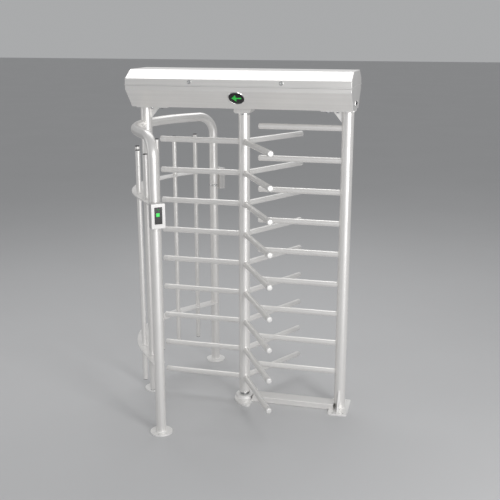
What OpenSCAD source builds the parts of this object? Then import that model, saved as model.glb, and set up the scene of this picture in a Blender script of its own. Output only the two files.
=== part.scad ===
// Full-height, single-lane turnstile for a museum or exhibition entrance.
// A three-wing rotor turns between a curved cage and a fixed comb barrier, under a long head that
// holds the lock, the damper and the visitor counter.
// Frame: the origin is on the rotor axis at floor level, +X runs along the head towards the comb,
// +Y runs through the passage away from the entry side, +Z is up. Millimetres and degrees.

/* [Overall] */
// Height from the floor to the top of the lid
overall_h = 2300; // [2250:5:2350]
// Distance from the rotor axis to each post axis
post_offset = 680; // [675:1:690]
// Radius of the two posts and of the rotor column
post_r = 38; // [36:0.5:40]
// Wall of the posts and of the column
post_wall = 3; // [2:0.5:4]

/* [Head] */
// Length of the head
head_len = 1455; // [1450:5:1500]
// Half depth of the head at its widest
head_half = 240; // [230:5:250]
// Half depth of the lid's flat top
lid_top_half = 142; // [130:2:150]
// Half depth of the tray's flat bottom
tray_bottom_half = 131; // [120:1:140]
// Depth of the whole head, top to bottom
head_h = 240; // [235:1:245]
// Height of the lid's sloping shoulder
lid_slope_h = 54; // [48:1:60]
// Height of the lid's upright band
lid_band_h = 41; // [40:1:45]
// Height of the tray's upright band
tray_band_h = 26; // [24:1:30]
// Sheet thickness of lid and tray
sheet = 2.5; // [2:0.5:3]

/* [Rotor] */
// Reach of an arm from the rotor axis
arm_reach = 583; // [570:1:590]
// Radius of an arm
arm_r = 19; // [17:0.5:20]
// Number of arms in a wing, and of bars in the comb
arm_count = 9; // [7:1:9]
// Height of the lowest arm
arm_first_z = 168; // [160:1:180]
// Height from one arm to the next
arm_pitch = 208.5; // [200:0.5:209]
// Height of the column's lower end above the floor
column_z = 50; // [48:1:56]

/* [Cage] */
// Plan radius of the cage wall
cage_r = 705; // [700:1:710]
// Half angle of the curved part of the wall
cage_arc = 37.7; // [36:0.1:39]
// Length of the straight run from the curve to a leg
cage_run = 255; // [250:1:260]
// Radius of the hoop and leg tubes
hoop_r = 31.75; // [30:0.25:33]
// Height of the hoop's centre line
hoop_z = 1930; // [1910:1:1940]
// Bend radius where the hoop turns down into a leg
hoop_bend = 130; // [120:1:140]
// Radius of an upright cage bar
cage_bar_r = 15.75; // [15:0.25:17]
// Lowest point of the cage bars
cage_bar_z = 235; // [225:1:245]
// Highest point of the cage bars
cage_bar_top = 1805; // [1780:1:1820]

/* [Floor parts] */
// Thickness of the foot discs and of the post's base plate
foot_t = 10; // [8:1:12]
// Radius of a foot disc
foot_r = 72.5; // [68:0.5:74]
// Radius of every floor anchor hole
anchor_r = 6.5; // [6:0.5:7]
// Height of the base beam
beam_h = 40; // [36:1:44]
// Width of the base beam
beam_w = 100; // [90:2:110]

/* [Card readers] */
// Width of a reader
reader_w = 90; // [84:1:92]
// Height of a reader
reader_h = 157; // [150:1:160]
// Depth of a reader in front of its leg's axis
reader_front = 74; // [70:1:78]
// Height of a reader's centre
reader_z = 1462; // [1440:1:1480]

/* [Mechanism] */
// Module of the gear teeth
gear_module = 2; // [2:0.5:2]
// Teeth on the drive gear
drive_teeth = 96; // [96:12:96]
// Teeth on the damper pinion
damper_teeth = 24; // [24:12:24]
// Teeth on the counter pinion
counter_teeth = 16; // [16:8:16]
// Notches in the lock disc
notch_count = 12; // [12:3:12]
// Swing of a lock pawl
pawl_swing = 12; // [10:1:12]

/* [Hidden] */

$fn = 64;
eps = 0.5;
steel = "#d3cfcb";
bright_steel = "#e6e4e1";
dark_plastic = "#111214";
signal_green = "#18e838";
machined = "#a9adb1";
brass_tone = "#b79a55";

// Head levels
head_z = overall_h - head_h;
lid_z = overall_h - lid_slope_h - lid_band_h;
lid_gap = 2;
seam_z = lid_z - lid_gap;
tray_slope_h = seam_z - tray_band_h - head_z;
slant_angle = atan2(head_half - tray_bottom_half, tray_slope_h);
flange_w = 14;

// Head brackets
bracket_t = 12;
bracket_inner = 168;
bracket_outer = 45;
bracket_half = 60;
bracket_gusset = [55, 72];
bracket_gusset_toe = [2, 6];
gusset_root = 8;
gusset_t = 8;
bolt_play = 0.5;
bolt_length = 28.5;
nut_h = 8;
head_bolt_r = 5;
head_bolt_af = 17;
head_bolt_head = 7;
head_bolt_places = [[128, 40], [60, 47]];

// Bearing block and journals
block_size = [110, 125, 36];
block_gap = 2;
journal_r = 20;
bearing_r = 36;
bearing_h = 18;
seal_half = 3;
seal_depth = 1;
block_bore_play = 3;
block_chamfer = 10;
journal_clear = 0.05;
journal_top = head_z + 60;
column_top = head_z - block_size[2] - block_gap;
column_cap = 10;

// Pedestal
pedestal_t = 14;
pedestal_cut = 68;
pedestal_centre = 76;
pedestal_r = 145;
pedestal_corner = 18;
pedestal_anchor = [27, 85];
level_hole = [52, 52];
level_hole_r = 4.5;
level_hole_depth = 5;
collar_r = 62;
collar_h = 24;
collar_chamfer = 4;
collar_floor = 2;
pivot_r = 15;
pivot_shoulder_r = 22;
pivot_seat_r = 31;
pivot_bearing_h = 18;
pivot_lift = 1;

// Right post's base
plate_w = 130;
plate_d = 256;
plate_corner = 14;
plate_anchor = [36.5, 103];
base_gusset_reach = 110;
base_gusset_h = 136;
base_gusset_toe = 12;
base_gusset_root = 4;
base_gusset_crown = 6;
beam_wall = 3;
beam_overlap = 12;
foot_anchor = 56;
weld_h = 5;

// Comb and arms
arm_wall = 2;
arm_tip_t = 3;
cope_overlap = 8;
comb_inner = 97;
comb_first_z = arm_first_z + arm_pitch / 2;
left_wing_angle = 180;
front_wing_angle = 300;
rear_wing_angle = 60;

// Cage
tube_wall = 2.5;
ring_band = 80;
ring_t = 8;
ring_levels = [480, 1525];
cage_bar_angles = [-45, -30, -15, 15, 30, 45];
cage_bar_wall = 2;
tangent_point = [-cage_r * cos(cage_arc), -cage_r * sin(cage_arc)];
leg_point = tangent_point + cage_run * [sin(cage_arc), -cos(cage_arc)];

// Readers
reader_back = 26;
reader_corner = 6;
window_size = [48, 104];
window_depth = 12;
window_sunk = 3;
window_up = 4;
lamp_size = 22;
lamp_side = 2;
lamp_t = 1.5;
lamp_up = 5;
small_lamp_r = 5;
small_lamp_up = 37;

// Indicators
bezel_r = 56;
bezel_in_r = 50;
bezel_proud = 4;
barrel_r = 52;
barrel_depth = 16;
barrel_floor = 3;
lens_t = 5;
lens_sunk = 1.5;
indicator_up = 73;

// Cable inlet on the right end
inlet_size = [84, 28];
inlet_z = head_z + 40;
inlet_t = 3;
inlet_spigot = [62, 14];
inlet_spigot_depth = 6.5;
inlet_slot = [64, 16];
gland_r = 4.5;
gland_offset = 22;

// Hinge at the rear of the lid
hinge_places = [-500, 0, 500];
hinge_w = 70;
hinge_t = 1.5;
knuckle_r = 4;
hinge_pin_r = 2;
hinge_y = head_half + knuckle_r + 0.3;
hinge_z = seam_z + lid_gap / 2;
knuckle_len = 22;
knuckle_gap = 1;
leaf_h = 20;
leaf_start = 4.5;
leaf_web = 5;
leaf_screws = [-24, 0, 24];
leaf_screw_r = 2;
leaf_screw_drop = 16;

// Locks on the lid's front band
lock_x = 295;
lock_z = lid_z + 25;
lock_flange_r = 13.5;
lock_flange_t = 2;
lock_barrel_r = 9.5;
lock_barrel_len = 18;
lock_nut_r = 14;
lock_nut_t = 5;
lock_plug_r = 6.4;
key_slot = [8, 1.6, 3.5];
cam_gap = 1;
cam_t = 3;
cam_len = 44;
cam_half = 6;
cam_hook = [20, 6];
keeper_t = 3;
keeper_reach = 17;
keeper_w = 8;
keeper_step = 9;
keeper_rise = 16;
keeper_drop = 33;

// Mechanism in the tray
mech_t = 6;
mech_size = [520, 250];
mech_bore_play = 4;
mech_screw_r = 4.5;
mech_screw_inset = 16;
mech_z = head_z + sheet;
mech_top = mech_z + mech_t;
disc_r = 90;
disc_z = mech_top + 15;
disc_t = 6;
disc_windows = [48, 12, 15];
notch_depth = 12;
notch_w = 18;
gear_z = disc_z + disc_t + 8;
gear_t = 8;
gear_hub = [10, 8];
gear_windows = [60, 18];
drive_r = gear_module * drive_teeth / 2;
damper_r = gear_module * damper_teeth / 2;
counter_r = gear_module * counter_teeth / 2;
damper_angle = 0;
counter_angle = 45;
damper_body_r = 27;
damper_flange = [20, 26, 4];
damper_ear = [22, 24, 10];
damper_screw = [24, 27, 2.6];
counter_body = [38, 34];
counter_body_back = 12;
pinion_shaft_r = 4;
pinion_shaft_low = 12;
pinion_shaft_high = 2;
pinion_clear = 0.05;
body_gap = 2;
pawl_reach = 60;
pawl_line_r = 104;
pawl_half = 6;
pawl_tooth = 10;
pawl_tip_r = 80;
pawl_pin_x = 35;
pawl_pivot_r = 5;
pawl_boss_r = 10;
pawl_slot_play = 0.3;
pawl_slot_half = 1;
pawl_clear = 0.05;
pawl_angle = 210;
plunger_r = 5;
plunger_pin_r = 2;
plunger_travel = pawl_pin_x * sin(pawl_swing);
fork_half = 6;
fork_len = 16;
fork_w = 10;
fork_t = 2.5;
fork_past_pin = 4;
fork_bridge = 4;
plunger_len = 30;
plunger_clear = 0.3;
solenoid_size = [50, 36, 32];
solenoid_start = 30;
solenoid_floor = 2;
pawl_post_r = 9;
pawl_post_gap = 0.5;
pawl_post_top = 2;
board_size = [190, 130, 34];
board_x = -430;
supply_size = [170, 96, 42];
supply_x = 420;
standoff_h = 8;
standoff_r = 4;
standoff_inset = 10;
board_strip = [14, 40, 24, 8];
supply_slot = [6, 12, 3];
supply_slot_count = 11;

function unit(v) = v / norm(v);

// A corner of a counter-clockwise outline, moved inwards by t from both of its sides.
function inner_corner(before, corner, after, t) =
    let (
        u = unit(corner - before),
        w = unit(after - corner),
        n = [-u[1], u[0]],
        m = [-w[1], w[0]]
    )
    corner + t * (n + m) / (1 + n * m);

function inset(outline, t) =
    let (n = len(outline))
    [for (i = [0 : n - 1]) inner_corner(outline[(i + n - 1) % n], outline[i], outline[(i + 1) % n], t)];

// Cross-section outlines of the head as [depth, height], with a floor or roof level to choose.
function lid_outline(low_z) = [
    [-head_half, low_z], [head_half, low_z], [head_half, overall_h - lid_slope_h],
    [lid_top_half, overall_h], [-lid_top_half, overall_h], [-head_half, overall_h - lid_slope_h]
];
function tray_outline(high_z) = [
    [-tray_bottom_half, head_z], [tray_bottom_half, head_z], [head_half, head_z + tray_slope_h],
    [head_half, high_z], [-head_half, high_z], [-head_half, head_z + tray_slope_h]
];

// A point on the cage wall, at an angle from the -X direction.
function wall_point(angle) =
    let (over = abs(angle) - cage_arc, side = sign(angle))
    over <= 0
        ? [-cage_r * cos(angle), cage_r * sin(angle)]
        : let (s = cage_r * tan(over))
          [tangent_point[0] + s * sin(cage_arc), side * (-tangent_point[1] + s * cos(cage_arc))];

function arm_level(i) = arm_first_z + arm_pitch * i;
function comb_level(i) = comb_first_z + arm_pitch * i;

// Gear outline with straight-flanked teeth, four corners a tooth.
function gear_outline(teeth) =
    let (
        pitch_r = gear_module * teeth / 2,
        tip_r = pitch_r + 0.9 * gear_module,
        root_r = pitch_r - 1.15 * gear_module,
        step = 360 / teeth
    )
    [for (i = [0 : teeth - 1], c = [[-0.33, root_r], [-0.11, tip_r], [0.11, tip_r], [0.33, root_r]])
        c[1] * [cos((i + c[0]) * step), sin((i + c[0]) * step)]];

module tube(r, wall, h) {
    difference() {
        cylinder(r = r, h = h);
        translate([0, 0, -eps]) cylinder(r = r - wall, h = h + 2 * eps);
    }
}

// Extrude a [depth, height] outline along X, centred on the rotor axis.
module along_x(outline, length) {
    rotate([90, 0, 90])
        translate([0, 0, -length / 2]) linear_extrude(height = length) polygon(outline);
}

module rounded_plate(w, d, r, t) {
    linear_extrude(height = t) {
        square([w - 2 * r, d], center = true);
        square([w, d - 2 * r], center = true);
        for (x = [-1, 1], y = [-1, 1])
            translate([x * (w / 2 - r), y * (d / 2 - r)]) circle(r = r);
    }
}

// Front is the -Y side; the rear side is its mirror image.
module on_side(rear) {
    if (rear) mirror([0, 1, 0]) children();
    else children();
}

module post_space(x) {
    translate([x, 0, -eps]) cylinder(r = post_r, h = overall_h);
}

// ---- Head ----

module head_tray() {
    color(steel) {
        difference() {
            along_x(tray_outline(seam_z), head_len);
            along_x(inset(tray_outline(seam_z + 10), sheet), head_len - 2 * sheet);
            translate([0, 0, head_z - eps]) cylinder(r = bearing_r, h = sheet + 2 * eps);
            for (side = [-1, 1], p = head_bolt_places, y = [-1, 1])
                translate([side * (post_offset - p[0]), y * p[1], head_z - eps])
                    cylinder(r = head_bolt_r + bolt_play, h = sheet + 2 * eps);
            for (rear = [false, true])
                on_slant(rear) translate([0, 0, -2 * sheet]) cylinder(r = barrel_r, h = 4 * sheet);
            translate([head_len / 2 - sheet - eps, -inlet_slot[0] / 2, inlet_z - inlet_slot[1] / 2])
                cube([sheet + 2 * eps, inlet_slot[0], inlet_slot[1]]);
        }
        for (y = [-head_half + sheet / 2, head_half - flange_w])
            translate([-head_len / 2 + sheet / 2, y, seam_z - sheet])
                cube([head_len - sheet, flange_w - sheet / 2, sheet]);
    }
}

module head_lid() {
    color(bright_steel) difference() {
        along_x(lid_outline(lid_z), head_len);
        along_x(inset(lid_outline(lid_z - 10), sheet), head_len - 2 * sheet);
        for (x = [-lock_x, lock_x])
            translate([x, -head_half - eps, lock_z])
                rotate([-90, 0, 0]) cylinder(r = lock_barrel_r, h = sheet + 2 * eps);
    }
}

// Local +Z points out of the tray's slanted face, at the indicator's centre.
module on_slant(rear) {
    on_side(rear)
        translate([0, -tray_bottom_half - indicator_up * tan(slant_angle), head_z + indicator_up])
            rotate([90 + slant_angle, 0, 0]) children();
}

module indicator_bezel(rear) {
    color(bright_steel) on_slant(rear) difference() {
        union() {
            cylinder(r = bezel_r, h = bezel_proud);
            translate([0, 0, -barrel_depth]) cylinder(r = barrel_r, h = barrel_depth + eps);
        }
        translate([0, 0, -barrel_depth + barrel_floor])
            cylinder(r = bezel_in_r, h = barrel_depth + bezel_proud);
    }
}

module indicator_lens(rear) {
    color(dark_plastic) on_slant(rear)
        translate([0, 0, bezel_proud - lens_sunk - lens_t]) cylinder(r = bezel_in_r, h = lens_t);
}

module front_indicator_bezel() { indicator_bezel(false); }
module rear_indicator_bezel() { indicator_bezel(true); }
module front_indicator_lens() { indicator_lens(false); }
module rear_indicator_lens() { indicator_lens(true); }

module cable_inlet() {
    color(dark_plastic) translate([head_len / 2, 0, inlet_z]) difference() {
        union() {
            translate([0, -inlet_size[0] / 2, -inlet_size[1] / 2])
                cube([inlet_t, inlet_size[0], inlet_size[1]]);
            translate([-inlet_spigot_depth, -inlet_spigot[0] / 2, -inlet_spigot[1] / 2])
                cube([inlet_spigot_depth + eps, inlet_spigot[0], inlet_spigot[1]]);
        }
        for (y = [-gland_offset, gland_offset])
            translate([-inlet_spigot_depth - eps, y, 0]) rotate([0, 90, 0])
                cylinder(r = gland_r, h = inlet_spigot_depth + inlet_t + 2 * eps);
    }
}

// Places on the lid's front band, seen square on: local +Z points in along +Y.
module lock_frame(x) {
    translate([x, -head_half, lock_z]) rotate([-90, 0, 0]) children();
}

module lock_housings() {
    color(bright_steel) for (x = [-lock_x, lock_x])
        lock_frame(x) difference() {
            union() {
                translate([0, 0, -lock_flange_t]) cylinder(r = lock_flange_r, h = lock_flange_t);
                translate([0, 0, -eps]) cylinder(r = lock_barrel_r, h = lock_barrel_len + eps);
                translate([0, 0, sheet]) cylinder(r = lock_nut_r, h = lock_nut_t, $fn = 6);
            }
            translate([0, 0, -lock_flange_t - eps])
                cylinder(r = lock_plug_r + pawl_clear, h = lock_barrel_len + lock_flange_t + 2 * eps);
        }
}

// A keyed plug with a hooked cam. The cam points sideways when the lock is open.
module lock_cam(x) {
    cam_z = lock_barrel_len + cam_gap;
    color(machined) lock_frame(x) {
        difference() {
            translate([0, 0, -lock_flange_t]) cylinder(r = lock_plug_r, h = lock_flange_t + cam_z + eps);
            translate([-key_slot[0] / 2, -key_slot[1] / 2, -lock_flange_t - eps])
                cube([key_slot[0], key_slot[1], key_slot[2] + eps]);
        }
        translate([0, -cam_half, cam_z]) cube([cam_len, 2 * cam_half, cam_t]);
        translate([cam_len - cam_hook[1], -cam_half, cam_z])
            cube([cam_hook[1], cam_half + cam_hook[0], cam_t]);
    }
}

module left_lock_cam() { lock_cam(-lock_x); }
module right_lock_cam() { lock_cam(lock_x); }

// Stepped brackets on the tray's inner wall, with a tongue that the turned cam hooks under.
module lock_keepers() {
    tongue_top = lock_z - keeper_drop + keeper_t;
    step_y = -head_half + sheet + keeper_step;
    color(steel) for (x = [-lock_x, lock_x]) translate([x - keeper_reach, 0, 0]) {
        translate([0, -head_half + sheet, tongue_top - keeper_rise])
            cube([keeper_w, keeper_step + keeper_t, keeper_t]);
        translate([0, step_y, tongue_top - keeper_rise]) cube([keeper_w, keeper_t, keeper_rise]);
        translate([0, step_y, tongue_top - keeper_t])
            cube([keeper_w, lock_barrel_len + cam_t + body_gap - keeper_step - sheet, keeper_t]);
    }
}

// One leaf of a butt hinge: a plate on the rear face and the knuckles that are given.
module hinge_leaf(knuckles, up) {
    rise = up ? 1 : -1;
    leaf_z = up ? hinge_z + leaf_start : hinge_z - leaf_start - leaf_h;
    difference() {
        union() {
            translate([-hinge_w / 2, head_half, leaf_z]) cube([hinge_w, hinge_t, leaf_h]);
            for (k = knuckles) {
                translate([k, hinge_y, hinge_z]) rotate([0, 90, 0])
                    cylinder(r = knuckle_r, h = knuckle_len, center = true);
                translate([k - knuckle_len / 2, head_half, up ? hinge_z : hinge_z - leaf_web])
                    cube([knuckle_len, hinge_t, leaf_web]);
            }
        }
        translate([-hinge_w, hinge_y, hinge_z]) rotate([0, 90, 0])
            cylinder(r = hinge_pin_r + (up ? pinion_clear : 0), h = 2 * hinge_w);
        for (x = leaf_screws)
            translate([x, head_half - eps, hinge_z + rise * leaf_screw_drop]) rotate([-90, 0, 0])
                cylinder(r = leaf_screw_r, h = hinge_t + 2 * eps);
    }
}

module tray_hinge_leaves() {
    step = knuckle_len + knuckle_gap;
    color(steel) for (x = hinge_places) translate([x, 0, 0]) hinge_leaf([-step, step], false);
}

module lid_hinge_leaves() {
    color(steel) for (x = hinge_places) translate([x, 0, 0]) hinge_leaf([0], true);
}

module hinge_pins() {
    color(machined) for (x = hinge_places)
        translate([x, hinge_y, hinge_z]) rotate([0, 90, 0])
            cylinder(r = hinge_pin_r, h = hinge_w - 1, center = true);
}

// ---- Posts and head brackets ----

module post(x) {
    color(steel) translate([x, 0, foot_t]) tube(post_r, post_wall, head_z - bracket_t - foot_t);
}

module left_post() { post(-post_offset); }
module right_post() { post(post_offset); }

// Mounting plate on top of each post, with a triangular gusset on the passage side.
module head_brackets() {
    color(steel) for (side = [-1, 1])
        difference() {
            union() {
                translate([side > 0 ? post_offset - bracket_inner : -post_offset - bracket_outer,
                           -bracket_half, head_z - bracket_t])
                    cube([bracket_inner + bracket_outer, 2 * bracket_half, bracket_t]);
                translate([side * (post_offset - post_r), gusset_t / 2, head_z - bracket_t])
                    rotate([90, 0, 0]) linear_extrude(height = gusset_t)
                        polygon([[side * gusset_root, 0], [-side * bracket_gusset[0], 0],
                                 [-side * bracket_gusset[0], -bracket_gusset_toe[1]],
                                 [-side * bracket_gusset_toe[0], -bracket_gusset[1]],
                                 [side * gusset_root, -bracket_gusset[1]]]);
            }
            translate([side * post_offset, 0, 0]) cylinder(r = post_r, h = head_z - bracket_t);
            for (p = head_bolt_places, y = [-1, 1])
                translate([side * (post_offset - p[0]), y * p[1], head_z - bracket_t - eps])
                    cylinder(r = head_bolt_r + bolt_play, h = bracket_t + 2 * eps);
        }
}

// Hexagon bolts that hold the head down on the brackets, each with its nut inside the tray.
module head_bolts() {
    color(machined) for (side = [-1, 1], p = head_bolt_places, y = [-1, 1])
        translate([side * (post_offset - p[0]), y * p[1], head_z - bracket_t]) {
            translate([0, 0, -head_bolt_head])
                cylinder(r = head_bolt_af / sqrt(3), h = head_bolt_head, $fn = 6);
            translate([0, 0, -eps]) cylinder(r = head_bolt_r, h = bolt_length + eps);
            translate([0, 0, bracket_t + sheet])
                cylinder(r = head_bolt_af / sqrt(3), h = nut_h, $fn = 6);
        }
}

module right_base_plate() {
    color(bright_steel) translate([post_offset, 0, 0]) difference() {
        rounded_plate(plate_w, plate_d, plate_corner, foot_t);
        for (x = [-1, 1], y = [-1, 1])
            translate([x * plate_anchor[0], y * plate_anchor[1], -eps])
                cylinder(r = anchor_r, h = foot_t + 2 * eps);
    }
}

module base_gussets() {
    color(steel) difference() {
        for (side = [-1, 1])
            translate([post_offset - gusset_t / 2, 0, foot_t]) rotate([90, 0, 90])
                linear_extrude(height = gusset_t)
                    polygon([[side * (post_r - base_gusset_root), 0], [side * base_gusset_reach, 0],
                             [side * base_gusset_reach, base_gusset_toe],
                             [side * (post_r + base_gusset_crown), base_gusset_h],
                             [side * (post_r - base_gusset_root), base_gusset_h]]);
        post_space(post_offset);
    }
}

module base_beam() {
    beam_end = post_offset - post_r + beam_overlap;
    color(steel) difference() {
        translate([pedestal_cut, -beam_w / 2, 0]) cube([beam_end - pedestal_cut, beam_w, beam_h]);
        translate([pedestal_cut - eps, -beam_w / 2 + beam_wall, beam_wall])
            cube([beam_end - pedestal_cut + 2 * eps, beam_w - 2 * beam_wall, beam_h - 2 * beam_wall]);
        translate([post_offset - plate_w / 2, -beam_w, -eps]) cube([plate_w, 2 * beam_w, foot_t + eps]);
        post_space(post_offset);
    }
}

// ---- Pedestal and bearings ----

// Half-round plate whose straight edge meets the base beam.
module pedestal_plate() {
    corner_x = pedestal_cut - pedestal_corner;
    corner_y = sqrt(pow(pedestal_r - pedestal_corner, 2) - pow(pedestal_centre - corner_x, 2));
    color(bright_steel) difference() {
        linear_extrude(height = pedestal_t) difference() {
            translate([pedestal_centre, 0]) circle(r = pedestal_r);
            translate([pedestal_cut, -pedestal_r - 1]) square([2 * pedestal_r, 2 * pedestal_r + 2]);
            for (y = [-1, 1]) difference() {
                translate([corner_x, y > 0 ? corner_y : -corner_y - 2 * pedestal_corner])
                    square([2 * pedestal_corner, 2 * pedestal_corner]);
                translate([corner_x, y * corner_y]) circle(r = pedestal_corner);
            }
        }
        for (y = [-1, 1]) {
            translate([pedestal_anchor[0], y * pedestal_anchor[1], -eps])
                cylinder(r = anchor_r, h = pedestal_t + 2 * eps);
            translate([level_hole[0], y * level_hole[1], pedestal_t - level_hole_depth])
                cylinder(r = level_hole_r, h = level_hole_depth + eps);
        }
    }
}

module pedestal_collar() {
    color(bright_steel) translate([0, 0, pedestal_t]) difference() {
        rotate_extrude() polygon([[0, 0], [collar_r, 0], [collar_r, collar_h - collar_chamfer],
                                  [collar_r - collar_chamfer, collar_h], [0, collar_h]]);
        translate([0, 0, collar_h - pivot_bearing_h]) cylinder(r = pivot_seat_r, h = pivot_bearing_h + eps);
        translate([0, 0, collar_floor]) cylinder(r = pivot_shoulder_r, h = collar_h);
    }
}

module lower_bearing() {
    color(machined) translate([0, 0, pedestal_t + collar_h - pivot_bearing_h])
        bearing(pivot_seat_r, pivot_r + journal_clear, pivot_bearing_h);
}

// Ball bearing ring with a sealing groove in each face.
module bearing(r_out, r_in, h) {
    groove = (r_out + r_in) / 2;
    difference() {
        cylinder(r = r_out, h = h);
        translate([0, 0, -eps]) cylinder(r = r_in, h = h + 2 * eps);
        for (z = [-eps, h - seal_depth]) translate([0, 0, z]) difference() {
            cylinder(r = groove + seal_half, h = seal_depth + eps);
            translate([0, 0, -eps]) cylinder(r = groove - seal_half, h = seal_depth + 3 * eps);
        }
    }
}

module bearing_block() {
    half = block_size[0] / 2;
    color(steel) translate([0, 0, head_z - block_size[2]]) difference() {
        rotate([90, 0, 0]) translate([0, 0, -block_size[1] / 2]) linear_extrude(height = block_size[1])
            polygon([[-half + block_chamfer, 0], [half - block_chamfer, 0], [half, block_chamfer],
                     [half, block_size[2]], [-half, block_size[2]], [-half, block_chamfer]]);
        translate([0, 0, -eps]) cylinder(r = journal_r + block_bore_play, h = block_size[2]);
        translate([0, 0, block_size[2] - bearing_h]) cylinder(r = bearing_r, h = bearing_h + eps);
    }
}

module upper_bearing() {
    color(machined) translate([0, 0, head_z - bearing_h])
        bearing(bearing_r, journal_r + journal_clear, bearing_h);
}

// ---- Rotor ----

module rotor_column() {
    color(steel) translate([0, 0, column_z]) difference() {
        cylinder(r = post_r, h = column_top - column_z);
        translate([0, 0, column_cap])
            cylinder(r = post_r - post_wall, h = column_top - column_z - 2 * column_cap);
        translate([0, 0, -eps]) cylinder(r = pivot_r, h = column_cap + 2 * eps);
        translate([0, 0, column_top - column_z - column_cap - eps])
            cylinder(r = journal_r, h = column_cap + 2 * eps);
    }
}

// A bar along +X from the origin's side to its closed tip, hollow, and coped around a tube at x_cope.
module coped_bar(x_root, x_tip, x_cope) {
    span = x_tip - x_root;
    way = sign(span);
    difference() {
        translate([min(x_root, x_tip), 0, 0]) rotate([0, 90, 0]) cylinder(r = arm_r, h = abs(span));
        translate([min(x_root - way * eps, x_tip - way * arm_tip_t), 0, 0]) rotate([0, 90, 0])
            cylinder(r = arm_r - arm_wall, h = abs(span) - arm_tip_t + eps);
        translate([x_cope, 0, -2 * arm_r]) cylinder(r = post_r, h = 4 * arm_r);
    }
}

module wing(angle) {
    color(steel) rotate([0, 0, angle]) for (i = [0 : arm_count - 1])
        translate([0, 0, arm_level(i)]) coped_bar(post_r - cope_overlap, arm_reach, 0);
}

module left_wing() { wing(left_wing_angle); }
module front_wing() { wing(front_wing_angle); }
module rear_wing() { wing(rear_wing_angle); }

module barrier_bars() {
    color(steel) for (i = [0 : arm_count - 1])
        translate([0, 0, comb_level(i)])
            coped_bar(post_offset - post_r + cope_overlap, comb_inner, post_offset);
}

// Upper shaft and lower pivot, turned parts pressed into the column's ends.
module rotor_journals() {
    pivot_low = pedestal_t + collar_h - pivot_bearing_h + pivot_lift;
    color(machined) {
        translate([0, 0, column_top - column_cap])
            cylinder(r = journal_r, h = journal_top - column_top + column_cap);
        translate([0, 0, pivot_low]) cylinder(r = pivot_r, h = column_z + column_cap - pivot_low);
        translate([0, 0, pedestal_t + collar_h + body_gap])
            cylinder(r = pivot_shoulder_r, h = column_z - pedestal_t - collar_h - body_gap);
    }
}

// ---- Mechanism ----

module mechanism_plate() {
    color(machined) translate([0, 0, mech_z]) difference() {
        translate([-mech_size[0] / 2, -mech_size[1] / 2, 0]) cube([mech_size[0], mech_size[1], mech_t]);
        translate([0, 0, -eps]) cylinder(r = journal_r + mech_bore_play, h = mech_t + 2 * eps);
        for (x = [-1, 1], y = [-1, 1])
            translate([x * (mech_size[0] / 2 - mech_screw_inset),
                       y * (mech_size[1] / 2 - mech_screw_inset), -eps])
                cylinder(r = mech_screw_r, h = mech_t + 2 * eps);
    }
}

module lock_disc() {
    color(machined) translate([0, 0, disc_z]) difference() {
        cylinder(r = disc_r, h = disc_t);
        translate([0, 0, -eps]) cylinder(r = journal_r, h = disc_t + 2 * eps);
        for (i = [0 : notch_count - 1])
            rotate([0, 0, i * 360 / notch_count])
                translate([disc_r - notch_depth, -notch_w / 2, -eps])
                    cube([2 * notch_depth, notch_w, disc_t + 2 * eps]);
        for (i = [0 : 5])
            rotate([0, 0, 60 * i + disc_windows[2]]) translate([disc_windows[0], 0, -eps])
                cylinder(r = disc_windows[1], h = disc_t + 2 * eps);
    }
}

module drive_gear() {
    color(brass_tone) translate([0, 0, gear_z]) difference() {
        union() {
            linear_extrude(height = gear_t) polygon(gear_outline(drive_teeth));
            cylinder(r = journal_r + gear_hub[0], h = gear_t + gear_hub[1]);
        }
        translate([0, 0, -eps]) cylinder(r = journal_r, h = gear_t + gear_hub[1] + 2 * eps);
        for (i = [0 : 5])
            rotate([0, 0, 60 * i]) translate([gear_windows[0], 0, -eps])
                cylinder(r = gear_windows[1], h = gear_t + 2 * eps);
    }
}

// A pinion on its own shaft, set so that a tooth gap faces the rotor axis.
module pinion(teeth, angle, pitch_r) {
    color(brass_tone) rotate([0, 0, angle]) translate([drive_r + pitch_r, 0, 0]) {
        translate([0, 0, gear_z]) rotate([0, 0, 180 + 180 / teeth])
            linear_extrude(height = gear_t) polygon(gear_outline(teeth));
        translate([0, 0, gear_z - body_gap - pinion_shaft_low])
            cylinder(r = pinion_shaft_r, h = pinion_shaft_low + body_gap + gear_t + pinion_shaft_high);
    }
}

module damper_pinion() { pinion(damper_teeth, damper_angle, damper_r); }
module counter_pinion() { pinion(counter_teeth, counter_angle, counter_r); }

// Bore in a housing for the lower end of a pinion's shaft.
module shaft_socket() {
    translate([0, 0, gear_z - body_gap - pinion_shaft_low - 1])
        cylinder(r = pinion_shaft_r + pinion_clear, h = pinion_shaft_low + body_gap);
}

module rotary_damper() {
    height = gear_z - body_gap - mech_top;
    color(dark_plastic) rotate([0, 0, damper_angle]) translate([drive_r + damper_r, 0, 0]) difference() {
        union() {
            translate([0, 0, mech_top]) cylinder(r = damper_body_r, h = height);
            translate([0, 0, mech_top]) linear_extrude(height = damper_flange[2]) {
                translate([damper_flange[0], 0]) circle(r = damper_flange[1]);
                for (y = [-1, 1]) translate([damper_ear[0], y * damper_ear[1]]) circle(r = damper_ear[2]);
            }
        }
        shaft_socket();
        for (y = [-1, 1])
            translate([damper_screw[0], y * damper_screw[1], mech_top - eps])
                cylinder(r = damper_screw[2], h = damper_flange[2] + 2 * eps);
    }
}

module counter_unit() {
    height = gear_z - body_gap - mech_top;
    color("#2d3a33") rotate([0, 0, counter_angle]) translate([drive_r + counter_r, 0, 0]) difference() {
        translate([-counter_body_back, -counter_body[1] / 2, mech_top])
            cube([counter_body[0], counter_body[1], height]);
        shaft_socket();
    }
}

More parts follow.
